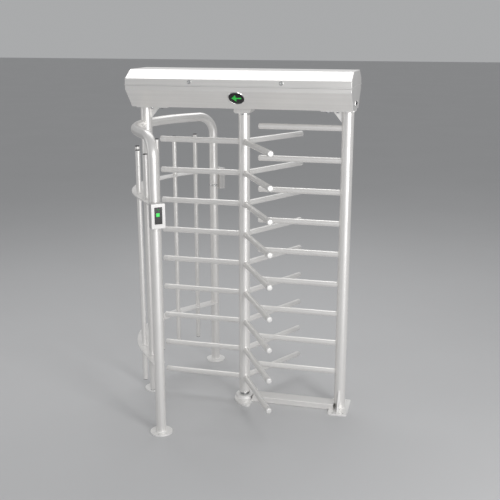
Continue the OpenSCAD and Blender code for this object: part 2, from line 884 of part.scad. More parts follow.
// Local frame of a pawl: origin on its pivot, +X along the pawl to its tooth, +Y towards the rotor.
// The entry pawl stands on the front side, and the exit pawl is its mirror image.
module pawl_frame(exit) {
    on_side(exit) rotate([0, 0, pawl_angle]) translate([pawl_line_r, pawl_reach, 0])
        mirror([1, 1, 0]) children();
}

module pawl(exit) {
    color(machined) pawl_frame(exit) rotate([0, 0, -pawl_swing]) translate([0, 0, disc_z]) difference() {
        union() {
            cylinder(r = pawl_boss_r, h = disc_t);
            translate([0, -pawl_half, 0]) cube([pawl_reach + pawl_tooth / 2, 2 * pawl_half, disc_t]);
            translate([pawl_reach - pawl_tooth / 2, 0, 0])
                cube([pawl_tooth, pawl_line_r - pawl_tip_r, disc_t]);
        }
        translate([0, 0, -eps]) cylinder(r = pawl_pivot_r + pawl_clear, h = disc_t + 2 * eps);
        translate([pawl_pin_x, 0, -eps]) linear_extrude(height = disc_t + 2 * eps) {
            for (x = [-pawl_slot_half, pawl_slot_half])
                translate([x, 0]) circle(r = plunger_pin_r + pawl_slot_play);
            square([2 * pawl_slot_half, 2 * (plunger_pin_r + pawl_slot_play)], center = true);
        }
    }
}

module entry_pawl() { pawl(false); }
module exit_pawl() { pawl(true); }

// Fork, pin and rod of a solenoid, lying across the pawl.
module plunger(exit) {
    axis_z = disc_z + disc_t / 2;
    rest_x = pawl_pin_x * cos(pawl_swing);
    color(machined) pawl_frame(exit) translate([rest_x, -plunger_travel, axis_z]) {
        translate([0, 0, -fork_half]) cylinder(r = plunger_pin_r, h = 2 * fork_half);
        for (z = [-fork_half, fork_half - fork_t])
            translate([-fork_w / 2, -fork_len, z]) cube([fork_w, fork_len + fork_past_pin, fork_t]);
        translate([-fork_w / 2, -fork_len - fork_bridge, -fork_half])
            cube([fork_w, fork_bridge + eps, 2 * fork_half]);
        translate([0, -fork_len - fork_bridge - plunger_len, 0]) rotate([-90, 0, 0])
            cylinder(r = plunger_r, h = plunger_len + eps);
    }
}

module entry_plunger() { plunger(false); }
module exit_plunger() { plunger(true); }

// Solenoid housings with the pivot posts of the two pawls.
module solenoids() {
    axis_z = disc_z + disc_t / 2;
    rest_x = pawl_pin_x * cos(pawl_swing);
    color("#3a3d42") for (exit = [false, true]) pawl_frame(exit) {
        translate([0, 0, mech_top]) cylinder(r = pawl_post_r, h = disc_z - mech_top - pawl_post_gap);
        translate([0, 0, mech_top])
            cylinder(r = pawl_pivot_r, h = disc_z + disc_t + pawl_post_top - mech_top);
        difference() {
            translate([rest_x - solenoid_size[1] / 2, -solenoid_start - solenoid_size[0], mech_top])
                cube([solenoid_size[1], solenoid_size[0], solenoid_size[2]]);
            translate([rest_x, -solenoid_start - solenoid_size[0] + solenoid_floor, axis_z])
                rotate([-90, 0, 0]) cylinder(r = plunger_r + plunger_clear, h = solenoid_size[0]);
        }
    }
}

// A boxed circuit with four standoffs on the tray's floor.
module boxed_unit(size, x) {
    translate([x, 0, head_z + sheet]) {
        for (sx = [-1, 1], sy = [-1, 1])
            translate([sx * (size[0] / 2 - standoff_inset), sy * (size[1] / 2 - standoff_inset), 0])
                cylinder(r = standoff_r, h = standoff_h + eps);
        translate([-size[0] / 2, -size[1] / 2, standoff_h]) cube(size);
    }
}

// Its top has two channels for the terminal strips: inset, offset, width and depth.
module control_board() {
    top = head_z + sheet + standoff_h + board_size[2];
    color("#1f5d3a") difference() {
        boxed_unit(board_size, board_x);
        for (y = [-1, 1])
            translate([board_x - board_size[0] / 2 + board_strip[0],
                       y * board_strip[1] - board_strip[2] / 2, top - board_strip[3]])
                cube([board_size[0] - 2 * board_strip[0], board_strip[2], board_strip[3] + eps]);
    }
}

// Its top has a row of cooling slots: width, spacing and depth.
module power_supply() {
    top = head_z + sheet + standoff_h + supply_size[2];
    first = -(supply_slot_count - 1) / 2;
    color("#8f9397") difference() {
        boxed_unit(supply_size, supply_x);
        for (i = [0 : supply_slot_count - 1])
            translate([supply_x + (first + i) * supply_slot[1] - supply_slot[0] / 2,
                       -supply_size[1] / 2 + supply_slot[1], top - supply_slot[2]])
                cube([supply_slot[0], supply_size[1] - 2 * supply_slot[1], supply_slot[2] + eps]);
    }
}

// ---- Cage ----

// Local +X runs from the end of the curve to the front leg.
module straight_run() {
    translate([tangent_point[0], tangent_point[1], 0]) rotate([0, 0, cage_arc - 90]) children();
}

module hoop_solid(r) {
    translate([0, 0, hoop_z]) rotate([0, 0, 180]) rotate_extrude(angle = cage_arc)
        translate([cage_r, 0]) circle(r = r);
    straight_run() {
        translate([0, 0, hoop_z]) rotate([0, 90, 0]) cylinder(r = r, h = cage_run - hoop_bend);
        translate([cage_run - hoop_bend, 0, hoop_z - hoop_bend]) rotate([90, 0, 0])
            rotate_extrude(angle = 90) translate([hoop_bend, 0]) circle(r = r);
    }
}

module hoop(rear) {
    color(bright_steel) on_side(rear) difference() {
        hoop_solid(hoop_r);
        hoop_solid(hoop_r - tube_wall);
        post_space(-post_offset);
    }
}

module front_hoop() { hoop(false); }
module rear_hoop() { hoop(true); }

module leg(rear) {
    color(steel) on_side(rear) translate([leg_point[0], leg_point[1], foot_t])
        tube(hoop_r, tube_wall, hoop_z - hoop_bend - foot_t);
}

module front_leg() { leg(false); }
module rear_leg() { leg(true); }

// Round feet under the left post and the two legs, each with a weld bead and two anchor holes.
module foot_discs() {
    feet = [[[-post_offset, 0], post_r], [leg_point, hoop_r], [[leg_point[0], -leg_point[1]], hoop_r]];
    color(bright_steel) for (foot = feet) translate([foot[0][0], foot[0][1], 0]) {
        difference() {
            cylinder(r = foot_r, h = foot_t);
            for (y = [-1, 1])
                translate([0, y * foot_anchor, -eps]) cylinder(r = anchor_r, h = foot_t + 2 * eps);
        }
        translate([0, 0, foot_t]) difference() {
            cylinder(r1 = foot[1] + weld_h, r2 = foot[1], h = weld_h);
            translate([0, 0, -eps]) cylinder(r = foot[1], h = weld_h + 2 * eps);
        }
    }
}

// Flat curved plate that the cage bars pass through.
module ring_plate(z) {
    color(steel) translate([0, 0, z - ring_t / 2]) difference() {
        union() {
            rotate([0, 0, 180 - cage_arc]) rotate_extrude(angle = 2 * cage_arc)
                translate([cage_r - ring_band / 2, 0]) square([ring_band, ring_t]);
            for (rear = [false, true]) on_side(rear) straight_run()
                translate([0, -ring_band / 2, 0]) cube([cage_run, ring_band, ring_t]);
        }
        translate([0, 0, -z]) post_space(-post_offset);
        for (rear = [false, true]) on_side(rear)
            translate([leg_point[0], leg_point[1], -eps]) cylinder(r = hoop_r, h = ring_t + 2 * eps);
        for (angle = cage_bar_angles)
            translate([wall_point(angle)[0], wall_point(angle)[1], -eps])
                cylinder(r = cage_bar_r, h = ring_t + 2 * eps);
    }
}

module lower_ring_plate() { ring_plate(ring_levels[0]); }
module upper_ring_plate() { ring_plate(ring_levels[1]); }

module cage_bars() {
    color(steel) for (angle = cage_bar_angles)
        translate([wall_point(angle)[0], wall_point(angle)[1], cage_bar_z])
            tube(cage_bar_r, cage_bar_wall, cage_bar_top - cage_bar_z);
}

// ---- Card readers ----

// Local -Y points out of a reader's face, and the origin is on its leg's axis at the face's centre.
module reader_frame(rear) {
    on_side(rear) translate([leg_point[0], leg_point[1], reader_z]) rotate([0, 0, cage_arc]) children();
}

module reader_housing(rear) {
    color(bright_steel) reader_frame(rear) difference() {
        translate([0, -reader_back, 0]) rotate([90, 0, 0])
            rounded_plate(reader_w, reader_h, reader_corner, reader_front - reader_back);
        translate([-window_size[0] / 2, -reader_front - eps, window_up - window_size[1] / 2])
            cube([window_size[0], window_depth + eps, window_size[1]]);
        translate([0, 0, -reader_h]) cylinder(r = hoop_r, h = 2 * reader_h);
    }
}

module reader_window(rear) {
    color(dark_plastic) reader_frame(rear)
        translate([-window_size[0] / 2, -reader_front + window_sunk, window_up - window_size[1] / 2])
            cube([window_size[0], window_depth - window_sunk, window_size[1]]);
}

module reader_lamps(rear) {
    color(signal_green) reader_frame(rear) {
        translate([-lamp_size / 2 - lamp_side, -reader_front + window_sunk - lamp_t,
                   window_up + lamp_up - lamp_size / 2])
            cube([lamp_size, lamp_t, lamp_size]);
        translate([0, -reader_front + window_sunk, window_up + small_lamp_up]) rotate([90, 0, 0])
            cylinder(r = small_lamp_r, h = lamp_t);
    }
}

module front_reader_housing() { reader_housing(false); }
module front_reader_window() { reader_window(false); }
module front_reader_lamps() { reader_lamps(false); }
module rear_reader_housing() { reader_housing(true); }
module rear_reader_window() { reader_window(true); }
module rear_reader_lamps() { reader_lamps(true); }

head_tray();
cable_inlet();
left_post();
right_post();
head_brackets();
head_bolts();
right_base_plate();
base_gussets();
base_beam();
pedestal_plate();
pedestal_collar();
lower_bearing();
bearing_block();
upper_bearing();
barrier_bars();
front_hoop();
rear_hoop();
front_leg();
rear_leg();
foot_discs();
lower_ring_plate();
upper_ring_plate();
cage_bars();
front_reader_housing();
front_reader_window();
front_reader_lamps();
rear_reader_housing();
rear_reader_window();
rear_reader_lamps();
front_indicator_bezel();
front_indicator_lens();
rear_indicator_bezel();
rear_indicator_lens();
mechanism_plate();
rotary_damper();
counter_unit();
solenoids();
control_board();
power_supply();
lock_keepers();
tray_hinge_leaves();
hinge_pins();
head_lid();
lid_hinge_leaves();
lock_housings();
left_lock_cam();
right_lock_cam();
rotor_column();
left_wing();
front_wing();
rear_wing();
rotor_journals();
drive_gear();
lock_disc();
damper_pinion();
counter_pinion();
entry_pawl();
exit_pawl();
entry_plunger();
exit_plunger();
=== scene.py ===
"""Finished look of a full-height, single-lane museum turnstile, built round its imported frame.

Sizes are in millimetres and meshes become metres when they are made. The axes are the frame's own: the
origin is on the rotor axis at floor level, +X runs along the head towards the comb, +Y runs through the
passage away from the entry side, and +Z is up.
"""

import logging
import math
from collections.abc import Iterable, Sequence
from dataclasses import dataclass
from enum import Enum

import bmesh
import bpy
from mathutils import Matrix, Vector
from mathutils.geometry import tessellate_polygon


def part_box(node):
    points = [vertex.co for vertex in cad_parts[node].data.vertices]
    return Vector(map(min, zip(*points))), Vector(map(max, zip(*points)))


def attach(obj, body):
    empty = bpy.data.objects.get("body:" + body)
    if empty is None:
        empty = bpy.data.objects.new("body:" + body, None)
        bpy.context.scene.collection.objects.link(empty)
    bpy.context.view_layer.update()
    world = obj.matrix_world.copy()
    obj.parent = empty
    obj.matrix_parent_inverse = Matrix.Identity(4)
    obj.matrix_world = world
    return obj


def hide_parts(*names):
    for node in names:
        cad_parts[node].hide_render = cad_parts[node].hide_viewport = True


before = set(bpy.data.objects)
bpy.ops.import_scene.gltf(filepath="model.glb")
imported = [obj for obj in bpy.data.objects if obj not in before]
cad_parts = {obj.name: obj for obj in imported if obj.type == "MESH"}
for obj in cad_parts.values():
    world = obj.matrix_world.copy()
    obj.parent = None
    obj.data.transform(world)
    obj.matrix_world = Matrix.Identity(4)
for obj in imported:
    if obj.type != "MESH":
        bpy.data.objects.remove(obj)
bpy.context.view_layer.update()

LOG = logging.getLogger("turnstile")
MM = 0.001
IDENTITY = Matrix.Identity(4)
POLE = 1e-6
FLAT = "flat_face"

# A bend below STRAIGHT radians is no corner, and a fillet takes up at most SIDE_SHARE of a side.
STRAIGHT = 0.02
SIDE_SHARE = 0.45
# Inset and rise along a rounded edge, as shares of its radius. At a hole the inset stops at HOLE_ROUND.
EDGE_ROUND = ((1.0, 0.0), (0.45, 0.12), (0.12, 0.45), (0.0, 1.0))
HOLE_ROUND = 0.8
# Scales of the noises in the finishes, and the middle of a noise's range, which they spread out.
HAIRLINES = 1400.0
BANDS = 75.0
MARKS = 7.0
CLOUDS = 24.0
NOISE_MIDDLE = (0.3, 0.7)
# Spacing of a weld's ripples as a share of its width, and how much they are flattened.
RIPPLE_STEP = 0.8
RIPPLE_FLATNESS = 0.62

Point2 = tuple[float, float]
Colour = tuple[float, float, float]
Place = tuple[float, float, float]
Socket = bpy.types.NodeSocket
Node = bpy.types.Node
Mesh = bpy.types.Mesh
Piece = bpy.types.Object


# ---- Outlines -------------------------------------------------------------------------------------


def arc(centre: Point2, radius: float, start: float, end: float, steps: int) -> list[Point2]:
    """Points on a circular arc.

    Args:
        centre: Middle of the circle.
        radius: Radius of the arc.
        start: First angle in degrees.
        end: Last angle in degrees.
        steps: Number of chords.

    Returns:
        The points from start to end, both included.
    """
    angles = [math.radians(start + (end - start) * k / steps) for k in range(steps + 1)]
    return [(centre[0] + radius * math.cos(a), centre[1] + radius * math.sin(a)) for a in angles]


def circle(centre: Point2, radius: float, steps: int = 32) -> list[Point2]:
    """A closed counter-clockwise circle.

    Args:
        centre: Middle of the circle.
        radius: Its radius.
        steps: Number of chords.

    Returns:
        The points, without the first one repeated.
    """
    return arc(centre, radius, 0, 360, steps)[:-1]


def rectangle(width: float, depth: float, centre: Point2 = (0.0, 0.0)) -> list[Point2]:
    """A counter-clockwise rectangle.

    Args:
        width: Size along the first axis.
        depth: Size along the second axis.
        centre: Its middle.

    Returns:
        The four corners.
    """
    x, y = centre
    return [(x + sx * width / 2, y + sy * depth / 2) for sx, sy in ((-1, -1), (1, -1), (1, 1), (-1, 1))]


def fillet(outline: Sequence[Point2], radius: float, steps: int = 3, closed: bool = True) -> list[Point2]:
    """Round the corners of an outline or a profile.

    Args:
        outline: The corners in order.
        radius: Rounding, shortened where a side is too short for it.
        steps: Number of chords in each corner.
        closed: Whether the last corner joins the first.

    Returns:
        The rounded points. Both ends of an open profile stay where they are.
    """
    made: list[Point2] = []
    count = len(outline)
    for i, corner in enumerate(outline):
        if not closed and i in (0, count - 1):
            made.append(corner)
            continue
        here = Vector(corner)
        back = Vector(outline[i - 1]) - here
        ahead = Vector(outline[(i + 1) % count]) - here
        bend = math.pi - back.angle(ahead, math.pi)
        if bend < STRAIGHT:
            made.append(corner)
            continue
        reach = min(radius * math.tan(bend / 2), SIDE_SHARE * back.length, SIDE_SHARE * ahead.length)
        first, last = here + back.normalized() * reach, here + ahead.normalized() * reach
        for k in range(steps + 1):
            t = k / steps
            point = first * (1 - t) ** 2 + here * 2 * t * (1 - t) + last * t * t
            made.append((point.x, point.y))
    return made


def inset(outline: Sequence[Point2], amount: float) -> list[Point2]:
    """Move a counter-clockwise outline inwards.

    Args:
        outline: The corners in order.
        amount: Distance from every side. A negative one moves the outline outwards.

    Returns:
        As many corners as were given.
    """
    made: list[Point2] = []
    count = len(outline)
    for i, corner in enumerate(outline):
        u = (Vector(corner) - Vector(outline[i - 1])).normalized()
        w = (Vector(outline[(i + 1) % count]) - Vector(corner)).normalized()
        n, m = Vector((-u.y, u.x)), Vector((-w.y, w.x))
        point = Vector(corner) + (n + m) * (amount / max(0.2, 1 + n.dot(m)))
        made.append((point.x, point.y))
    return made


def signed_area(outline: Sequence[Point2]) -> float:
    """Area of an outline, positive where it runs counter-clockwise."""
    total = 0.0
    for (x0, y0), (x1, y1) in zip(outline, [*outline[1:], outline[0]]):
        total += x0 * y1 - x1 * y0
    return total / 2


def facing(centre: Sequence[float], direction: Sequence[float]) -> Matrix:
    """A place whose local +Z points in a direction.

    Args:
        centre: Where the local origin goes, in millimetres.
        direction: Where local +Z points.

    Returns:
        The placing matrix.
    """
    turn = Vector(direction).to_track_quat("Z", "Y").to_matrix().to_4x4()
    return Matrix.Translation(Vector(centre)) @ turn


def moved(x: float = 0.0, y: float = 0.0, z: float = 0.0) -> Matrix:
    """A placing matrix that only shifts, in millimetres."""
    return Matrix.Translation((x, y, z))


def turned(angle: float, axis: str = "Z") -> Matrix:
    """A placing matrix that only turns about an axis, in degrees."""
    return Matrix.Rotation(math.radians(angle), 4, axis)


def along_x(x: float, z: float = 0.0) -> Matrix:
    """A placing matrix that lays local +Z along +X, local +X along +Y and local +Y up."""
    return Matrix(((0, 0, 1, x), (1, 0, 0, 0), (0, 1, 0, z), (0, 0, 0, 1)))


def along_y(y: float, z: float = 0.0) -> Matrix:
    """A placing matrix that lays local +Z along -Y and local +Y up."""
    return Matrix(((1, 0, 0, 0), (0, 0, -1, y), (0, 1, 0, z), (0, 0, 0, 1)))


def ring_profile(inner: float, outer: float, low: float, high: float) -> list[Point2]:
    """Profile of a plain ring, counter-clockwise."""
    return [(inner, low), (outer, low), (outer, high), (inner, high)]


def weld_ring(
    radius: float, level: float, sizes: tuple[float, float, float], way: int = 1
) -> list[Point2]:
    """Profile of a weld round a tube, where it meets a plate.

    Args:
        radius: Radius of the tube.
        level: Height of the plate's face.
        sizes: How far the weld reaches out, out and up at its middle, and up.
        way: 1 for a weld that stands on the face and -1 for one that hangs below it.

    Returns:
        Radius and height pairs, counter-clockwise.
    """
    wide, mid, tall = sizes
    rows = [(-1.0, 0.0), (wide, 0.0), (mid, mid), (0.0, tall), (-1.0, tall)]
    made = [(radius + out, level + way * up) for out, up in rows]
    return made if way > 0 else made[::-1]


def span(node: str) -> tuple[Vector, Vector]:
    """Lowest and highest corner of a frame node at rest, in millimetres."""
    low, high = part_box(node)
    return Vector(low) / MM, Vector(high) / MM


def middle(node: str) -> Vector:
    """Centre of a frame node's box at rest, in millimetres."""
    low, high = span(node)
    return (low + high) / 2


# ---- Finishes -------------------------------------------------------------------------------------


class Slot(Enum):
    """The record's material slots."""

    SATIN = "satin_steel"
    PLATE = "plate_steel"
    ZINC = "zinc_bolt"
    MACHINED = "machined_steel"
    TRIM = "polished_trim"
    WINDOW = "black_window"
    LAMP = "green_lamp"
    PLASTIC = "black_plastic"
    BRASS = "brass_gear"
    HOUSING = "dark_housing"
    BOARD = "board_green"
    SUPPLY = "supply_case"


class Grain(Enum):
    """Which way the brushing lies: along the run map, along a frame axis, or nowhere."""

    RUN = (1.0, 0.012, 1.0)
    ALONG_X = (0.012, 1.0, 1.0)
    ALONG_Z = (1.0, 1.0, 0.012)
    NONE = (1.0, 1.0, 1.0)


class Recipe:
    """A material while its nodes are being wired."""

    def __init__(self, name: str) -> None:
        """Start a material with its main shader.

        Args:
            name: Name of the new material.
        """
        self.material = bpy.data.materials.new(name)
        self.material.use_nodes = True
        self.tree = self.material.node_tree
        self.shader = self.tree.nodes["Principled BSDF"]

    def node(self, kind: str, values: dict | None = None, wires: dict | None = None) -> Node:
        """Add a node.

        Args:
            kind: Type of the node.
            values: Constant inputs by socket name.
            wires: Output sockets to link, by input socket name.

        Returns:
            The new node.
        """
        made = self.tree.nodes.new(kind)
        for name, value in (values or {}).items():
            made.inputs[name].default_value = value
        for name, source in (wires or {}).items():
            self.tree.links.new(source, made.inputs[name])
        return made

    def place(self, grain: Grain) -> Socket:
        """Coordinates in metres, stretched along the grain.

        Args:
            grain: Which way the brushing lies.

        Returns:
            The vector output.
        """
        if grain is Grain.RUN:
            source = self.node("ShaderNodeUVMap")
            source.uv_map = "run"
            output = source.outputs["UV"]
        else:
            output = self.node("ShaderNodeTexCoord").outputs["Object"]
        return self.node("ShaderNodeMapping", {"Scale": grain.value}, {"Vector": output}).outputs["Vector"]

    def noise(self, where: Socket, scale: float, detail: float = 3.0) -> Socket:
        """A noise pattern.

        Args:
            where: Its coordinates.
            scale: Waves in a metre.
            detail: Number of finer layers.

        Returns:
            The factor output.
        """
        values = {"Scale": scale, "Detail": detail, "Roughness": 0.55}
        return self.node("ShaderNodeTexNoise", values, {"Vector": where}).outputs[0]

    def between(self, factor: Socket, low: float, high: float) -> Socket:
        """Spread the useful middle of a noise factor over a range.

        Args:
            factor: The noise factor.
            low: Result for a low factor.
            high: Result for a high factor.

        Returns:
            The ranged output.
        """
        first, last = NOISE_MIDDLE
        values = {"From Min": first, "From Max": last, "To Min": low, "To Max": high}
        return self.node("ShaderNodeMapRange", values, {"Value": factor}).outputs["Result"]

    def shades(self, factor: Socket, tone: Colour, low: float, high: float) -> Socket:
        """One tone, darker and lighter by a noise factor.

        Args:
            factor: The noise factor.
            tone: The middle colour.
            low: Brightness where the factor is low.
            high: Brightness where the factor is high.

        Returns:
            The colour output.
        """
        ramp = self.node("ShaderNodeValToRGB", wires={"Fac": factor})
        for element, position, level in zip(ramp.color_ramp.elements, NOISE_MIDDLE, (low, high)):
            element.position = position
            element.color = (*(min(1.0, c * level) for c in tone), 1.0)
        return ramp.outputs["Color"]

    def darken(self, colour: Socket, shade: Socket) -> Socket:
        """Multiply one colour by another.

        Args:
            colour: The main colour.
            shade: What it is multiplied by.

        Returns:
            The colour output.
        """
        mix = self.tree.nodes.new("ShaderNodeMix")
        mix.data_type, mix.blend_type = "RGBA", "MULTIPLY"
        mix.inputs[0].default_value = 1.0
        self.tree.links.new(colour, mix.inputs[6])
        self.tree.links.new(shade, mix.inputs[7])
        return mix.outputs[2]

    def wire(self, source: Socket, target: str) -> None:
        """Link an output to one of the main shader's inputs.

        Args:
            source: The output.
            target: Name of the shader's input.
        """
        self.tree.links.new(source, self.shader.inputs[target])

    def relief(self, height: Socket, depth: float, strength: float) -> None:
        """Raise the surface by a height pattern.

        Args:
            height: The pattern.
            depth: Its depth in millimetres.
            strength: Share of that depth that shows.
        """
        values = {"Strength": strength, "Distance": depth * MM}
        bump = self.node("ShaderNodeBump", values, {"Height": height})
        self.wire(bump.outputs["Normal"], "Normal")

    def fixed(self, **values: float | tuple) -> None:
        """Set constant inputs of the main shader, with underscores for the spaces in their names."""
        for name, value in values.items():
            self.shader.inputs[name.replace("_", " ")].default_value = value


@dataclass(frozen=True)
class Finish:
    """What every finish has."""

    name: str
    slot: Slot

    def material(self) -> bpy.types.Material:
        """The finish as a material, made once."""
        return bpy.data.materials.get(self.name) or self.mixed()

    def mixed(self) -> bpy.types.Material:
        """Make the material. Each kind of finish has its own way."""
        raise NotImplementedError


@dataclass(frozen=True)
class Steel(Finish):
    """A metal with brushing, soft bands along the brushing, and faint handling marks."""

    tone: Colour = (0.86, 0.845, 0.825)
    rough: float = 0.36
    spread: float = 0.035
    grain: Grain = Grain.RUN
    band: float = 0.05
    mottle: float = 0.03
    depth: float = 0.08
    metal: float = 0.5

    def mixed(self) -> bpy.types.Material:
        """Wire the bands, the hairlines and the marks."""
        recipe = Recipe(self.name)
        where = recipe.place(self.grain)
        plain = recipe.place(Grain.NONE)
        hairline = recipe.noise(where, HAIRLINES, 2)
        bands = recipe.noise(where, BANDS, 3)
        marks = recipe.noise(plain, MARKS, 2)
        colour = recipe.shades(bands, self.tone, 1 - self.band, 1 + self.band)
        shade = recipe.shades(marks, (1.0, 1.0, 1.0), 1 - self.mottle, 1.0)
        recipe.wire(recipe.darken(colour, shade), "Base Color")
        recipe.wire(recipe.between(bands, self.rough - self.spread, self.rough + self.spread), "Roughness")
        recipe.relief(hairline, self.depth, 0.35)
        recipe.fixed(Metallic=self.metal)
        return recipe.material


@dataclass(frozen=True)
class Moulded(Finish):
    """A plastic, paint or board with a fine grained skin."""

    tone: Colour = (0.02, 0.02, 0.022)
    rough: float = 0.45
    skin: float = 900.0
    depth: float = 0.12
    variation: float = 0.15
    coat: float = 0.0
    shine: float = 0.5

    def mixed(self) -> bpy.types.Material:
        """Wire the skin and the uneven gloss."""
        recipe = Recipe(self.name)
        plain = recipe.place(Grain.NONE)
        skin = recipe.noise(plain, self.skin, 2)
        cloud = recipe.noise(plain, CLOUDS, 4)
        recipe.wire(recipe.shades(cloud, self.tone, 1 - self.variation, 1 + self.variation), "Base Color")
        recipe.wire(recipe.between(skin, self.rough * 0.85, self.rough * 1.15), "Roughness")
        recipe.relief(skin, self.depth, 0.4)
        recipe.fixed(Coat_Weight=self.coat, Coat_Roughness=0.08, Specular_IOR_Level=self.shine)
        return recipe.material


@dataclass(frozen=True)
class Glow(Finish):
    """A lit lamp behind a diffusing cover, brightest where its light sources sit."""

    tone: Colour = (0.0, 0.72, 0.03)
    power: float = 1.1
    cell: float = 180.0

    def mixed(self) -> bpy.types.Material:
        """Wire the uneven light."""
        recipe = Recipe(self.name)
        plain = recipe.place(Grain.NONE)
        spots = recipe.noise(plain, self.cell, 1)
        colour = recipe.shades(spots, self.tone, 0.7, 1.1)
        recipe.wire(colour, "Base Color")
        recipe.wire(colour, "Emission Color")
        recipe.fixed(Emission_Strength=self.power, Roughness=0.35)
        return recipe.material


TUBE = Steel("satin_tube", Slot.SATIN)
SHEET = Steel(
    "satin_sheet", Slot.SATIN, rough=0.34, spread=0.02, grain=Grain.ALONG_X, band=0.025,
    mottle=0.02,
)
UPRIGHT = Steel("satin_upright", Slot.SATIN, grain=Grain.ALONG_Z)
PLATE = Steel(
    "pickled_plate", Slot.PLATE, tone=(0.9, 0.89, 0.875), rough=0.42, spread=0.02,
    grain=Grain.NONE, band=0.01, depth=0.04, metal=0.4,
)
SLEEVE = Steel(
    "bright_sleeve", Slot.TRIM, tone=(0.8, 0.79, 0.775), rough=0.45, spread=0.03, band=0.03,
    mottle=0.02, depth=0.03,
)
TRIM = Steel(
    "polished_trim", Slot.TRIM, tone=(0.88, 0.87, 0.86), rough=0.22, spread=0.03, grain=Grain.NONE,
    band=0.02, mottle=0.02, depth=0.02, metal=0.85,
)
ZINC = Steel(
    "zinc_bolt", Slot.ZINC, tone=(0.66, 0.67, 0.68), rough=0.32, spread=0.08, grain=Grain.NONE,
    band=0.08, mottle=0.12, depth=0.06,
)
MACHINED = Steel(
    "machined_steel", Slot.MACHINED, tone=(0.6, 0.6, 0.61), rough=0.26, spread=0.06,
    grain=Grain.ALONG_X, mottle=0.06, depth=0.05,
)
BRASS = Steel(
    "brass_gear", Slot.BRASS, tone=(0.72, 0.54, 0.26), rough=0.3, spread=0.06, grain=Grain.NONE,
    mottle=0.1, depth=0.05, metal=1.0,
)
SUPPLY = Steel(
    "supply_case", Slot.SUPPLY, tone=(0.5, 0.51, 0.52), rough=0.42, spread=0.08,
    grain=Grain.ALONG_X, mottle=0.08, depth=0.05,
)
BEAM = Steel("satin_beam", Slot.SATIN, grain=Grain.ALONG_X, rough=0.31)
BAND = Steel(
    "plate_band", Slot.PLATE, tone=(0.88, 0.865, 0.85), rough=0.42, spread=0.015, grain=Grain.NONE,
    band=0.01, mottle=0.02, depth=0.03, metal=0.4,
)
CASE = Steel(
    "reader_case", Slot.SATIN, tone=(0.66, 0.65, 0.64), rough=0.42, spread=0.04,
    grain=Grain.ALONG_Z, band=0.04, mottle=0.04, depth=0.06,
)
WINDOW = Moulded(
    "black_window", Slot.WINDOW, tone=(0.006, 0.006, 0.007), rough=0.2, skin=300.0, depth=0.02,
    variation=0.3, coat=0.25,
)
PLASTIC = Moulded("black_plastic", Slot.PLASTIC, tone=(0.01, 0.01, 0.011), rough=0.6, shine=0.1)
HOUSING = Moulded("dark_housing", Slot.HOUSING, tone=(0.05, 0.053, 0.058), rough=0.48)
BOARD = Moulded(
    "board_green", Slot.BOARD, tone=(0.02, 0.13, 0.055), rough=0.4, skin=500.0, depth=0.1,
    variation=0.25, coat=0.2,
)
LIT = Glow("green_lamp", Slot.LAMP)
UNLIT = Glow("green_lamp_idle", Slot.LAMP, tone=(0.0, 0.2, 0.03), power=0.25)


# ---- Mesh making ----------------------------------------------------------------------------------


def settle(piece: Piece) -> None:
    """Turn a piece's evaluated shape into its plain mesh and drop its modifiers.

    Args:
        piece: The object to settle.
    """
    evaluated = piece.evaluated_get(bpy.context.evaluated_depsgraph_get())
    mesh = bpy.data.meshes.new_from_object(evaluated)
    piece.modifiers.clear()
    before, piece.data = piece.data, mesh
    if before.users == 0:
        bpy.data.meshes.remove(before)
    piece.data.name = piece.name


def smooth(piece: Piece, limit: float = 50.0) -> None:
    """Shade a piece smoothly, with its wide faces kept flat.

    Args:
        piece: The object to shade.
        limit: Edges sharper than this many degrees stay sharp.
    """
    flat = piece.data.attributes.get(FLAT)
    rounded = [not mark.value for mark in flat.data] if flat else [True] * len(piece.data.polygons)
    piece.data.polygons.foreach_set("use_smooth", rounded)
    piece.data.set_sharp_from_angle(angle=math.radians(limit))
    weighted = piece.modifiers.new("flat_faces", "WEIGHTED_NORMAL")
    weighted.keep_sharp = True
    settle(piece)


def new_object(name: str, mesh: Mesh) -> Piece:
    """Put a mesh in the scene as an object at the origin.

    Args:
        name: Name of the object.
        mesh: Its mesh.

    Returns:
        The object.
    """
    piece = bpy.data.objects.new(name, mesh)
    bpy.context.scene.collection.objects.link(piece)
    return piece


def hand_over(piece: Piece, finish: Finish, body: str, *nodes: str) -> Piece:
    """Dress a piece and join it to the frame.

    Args:
        piece: The finished object.
        finish: What it is dressed in.
        body: The body that it moves with.
        nodes: The frame nodes that it stands for.

    Returns:
        The same object.
    """
    piece.data.materials.clear()
    piece.data.materials.append(finish.material())
    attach(piece, body)
    if nodes:
        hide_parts(*nodes)
    LOG.info("%s: %d faces on %s", piece.name, len(piece.data.polygons), body)
    return piece


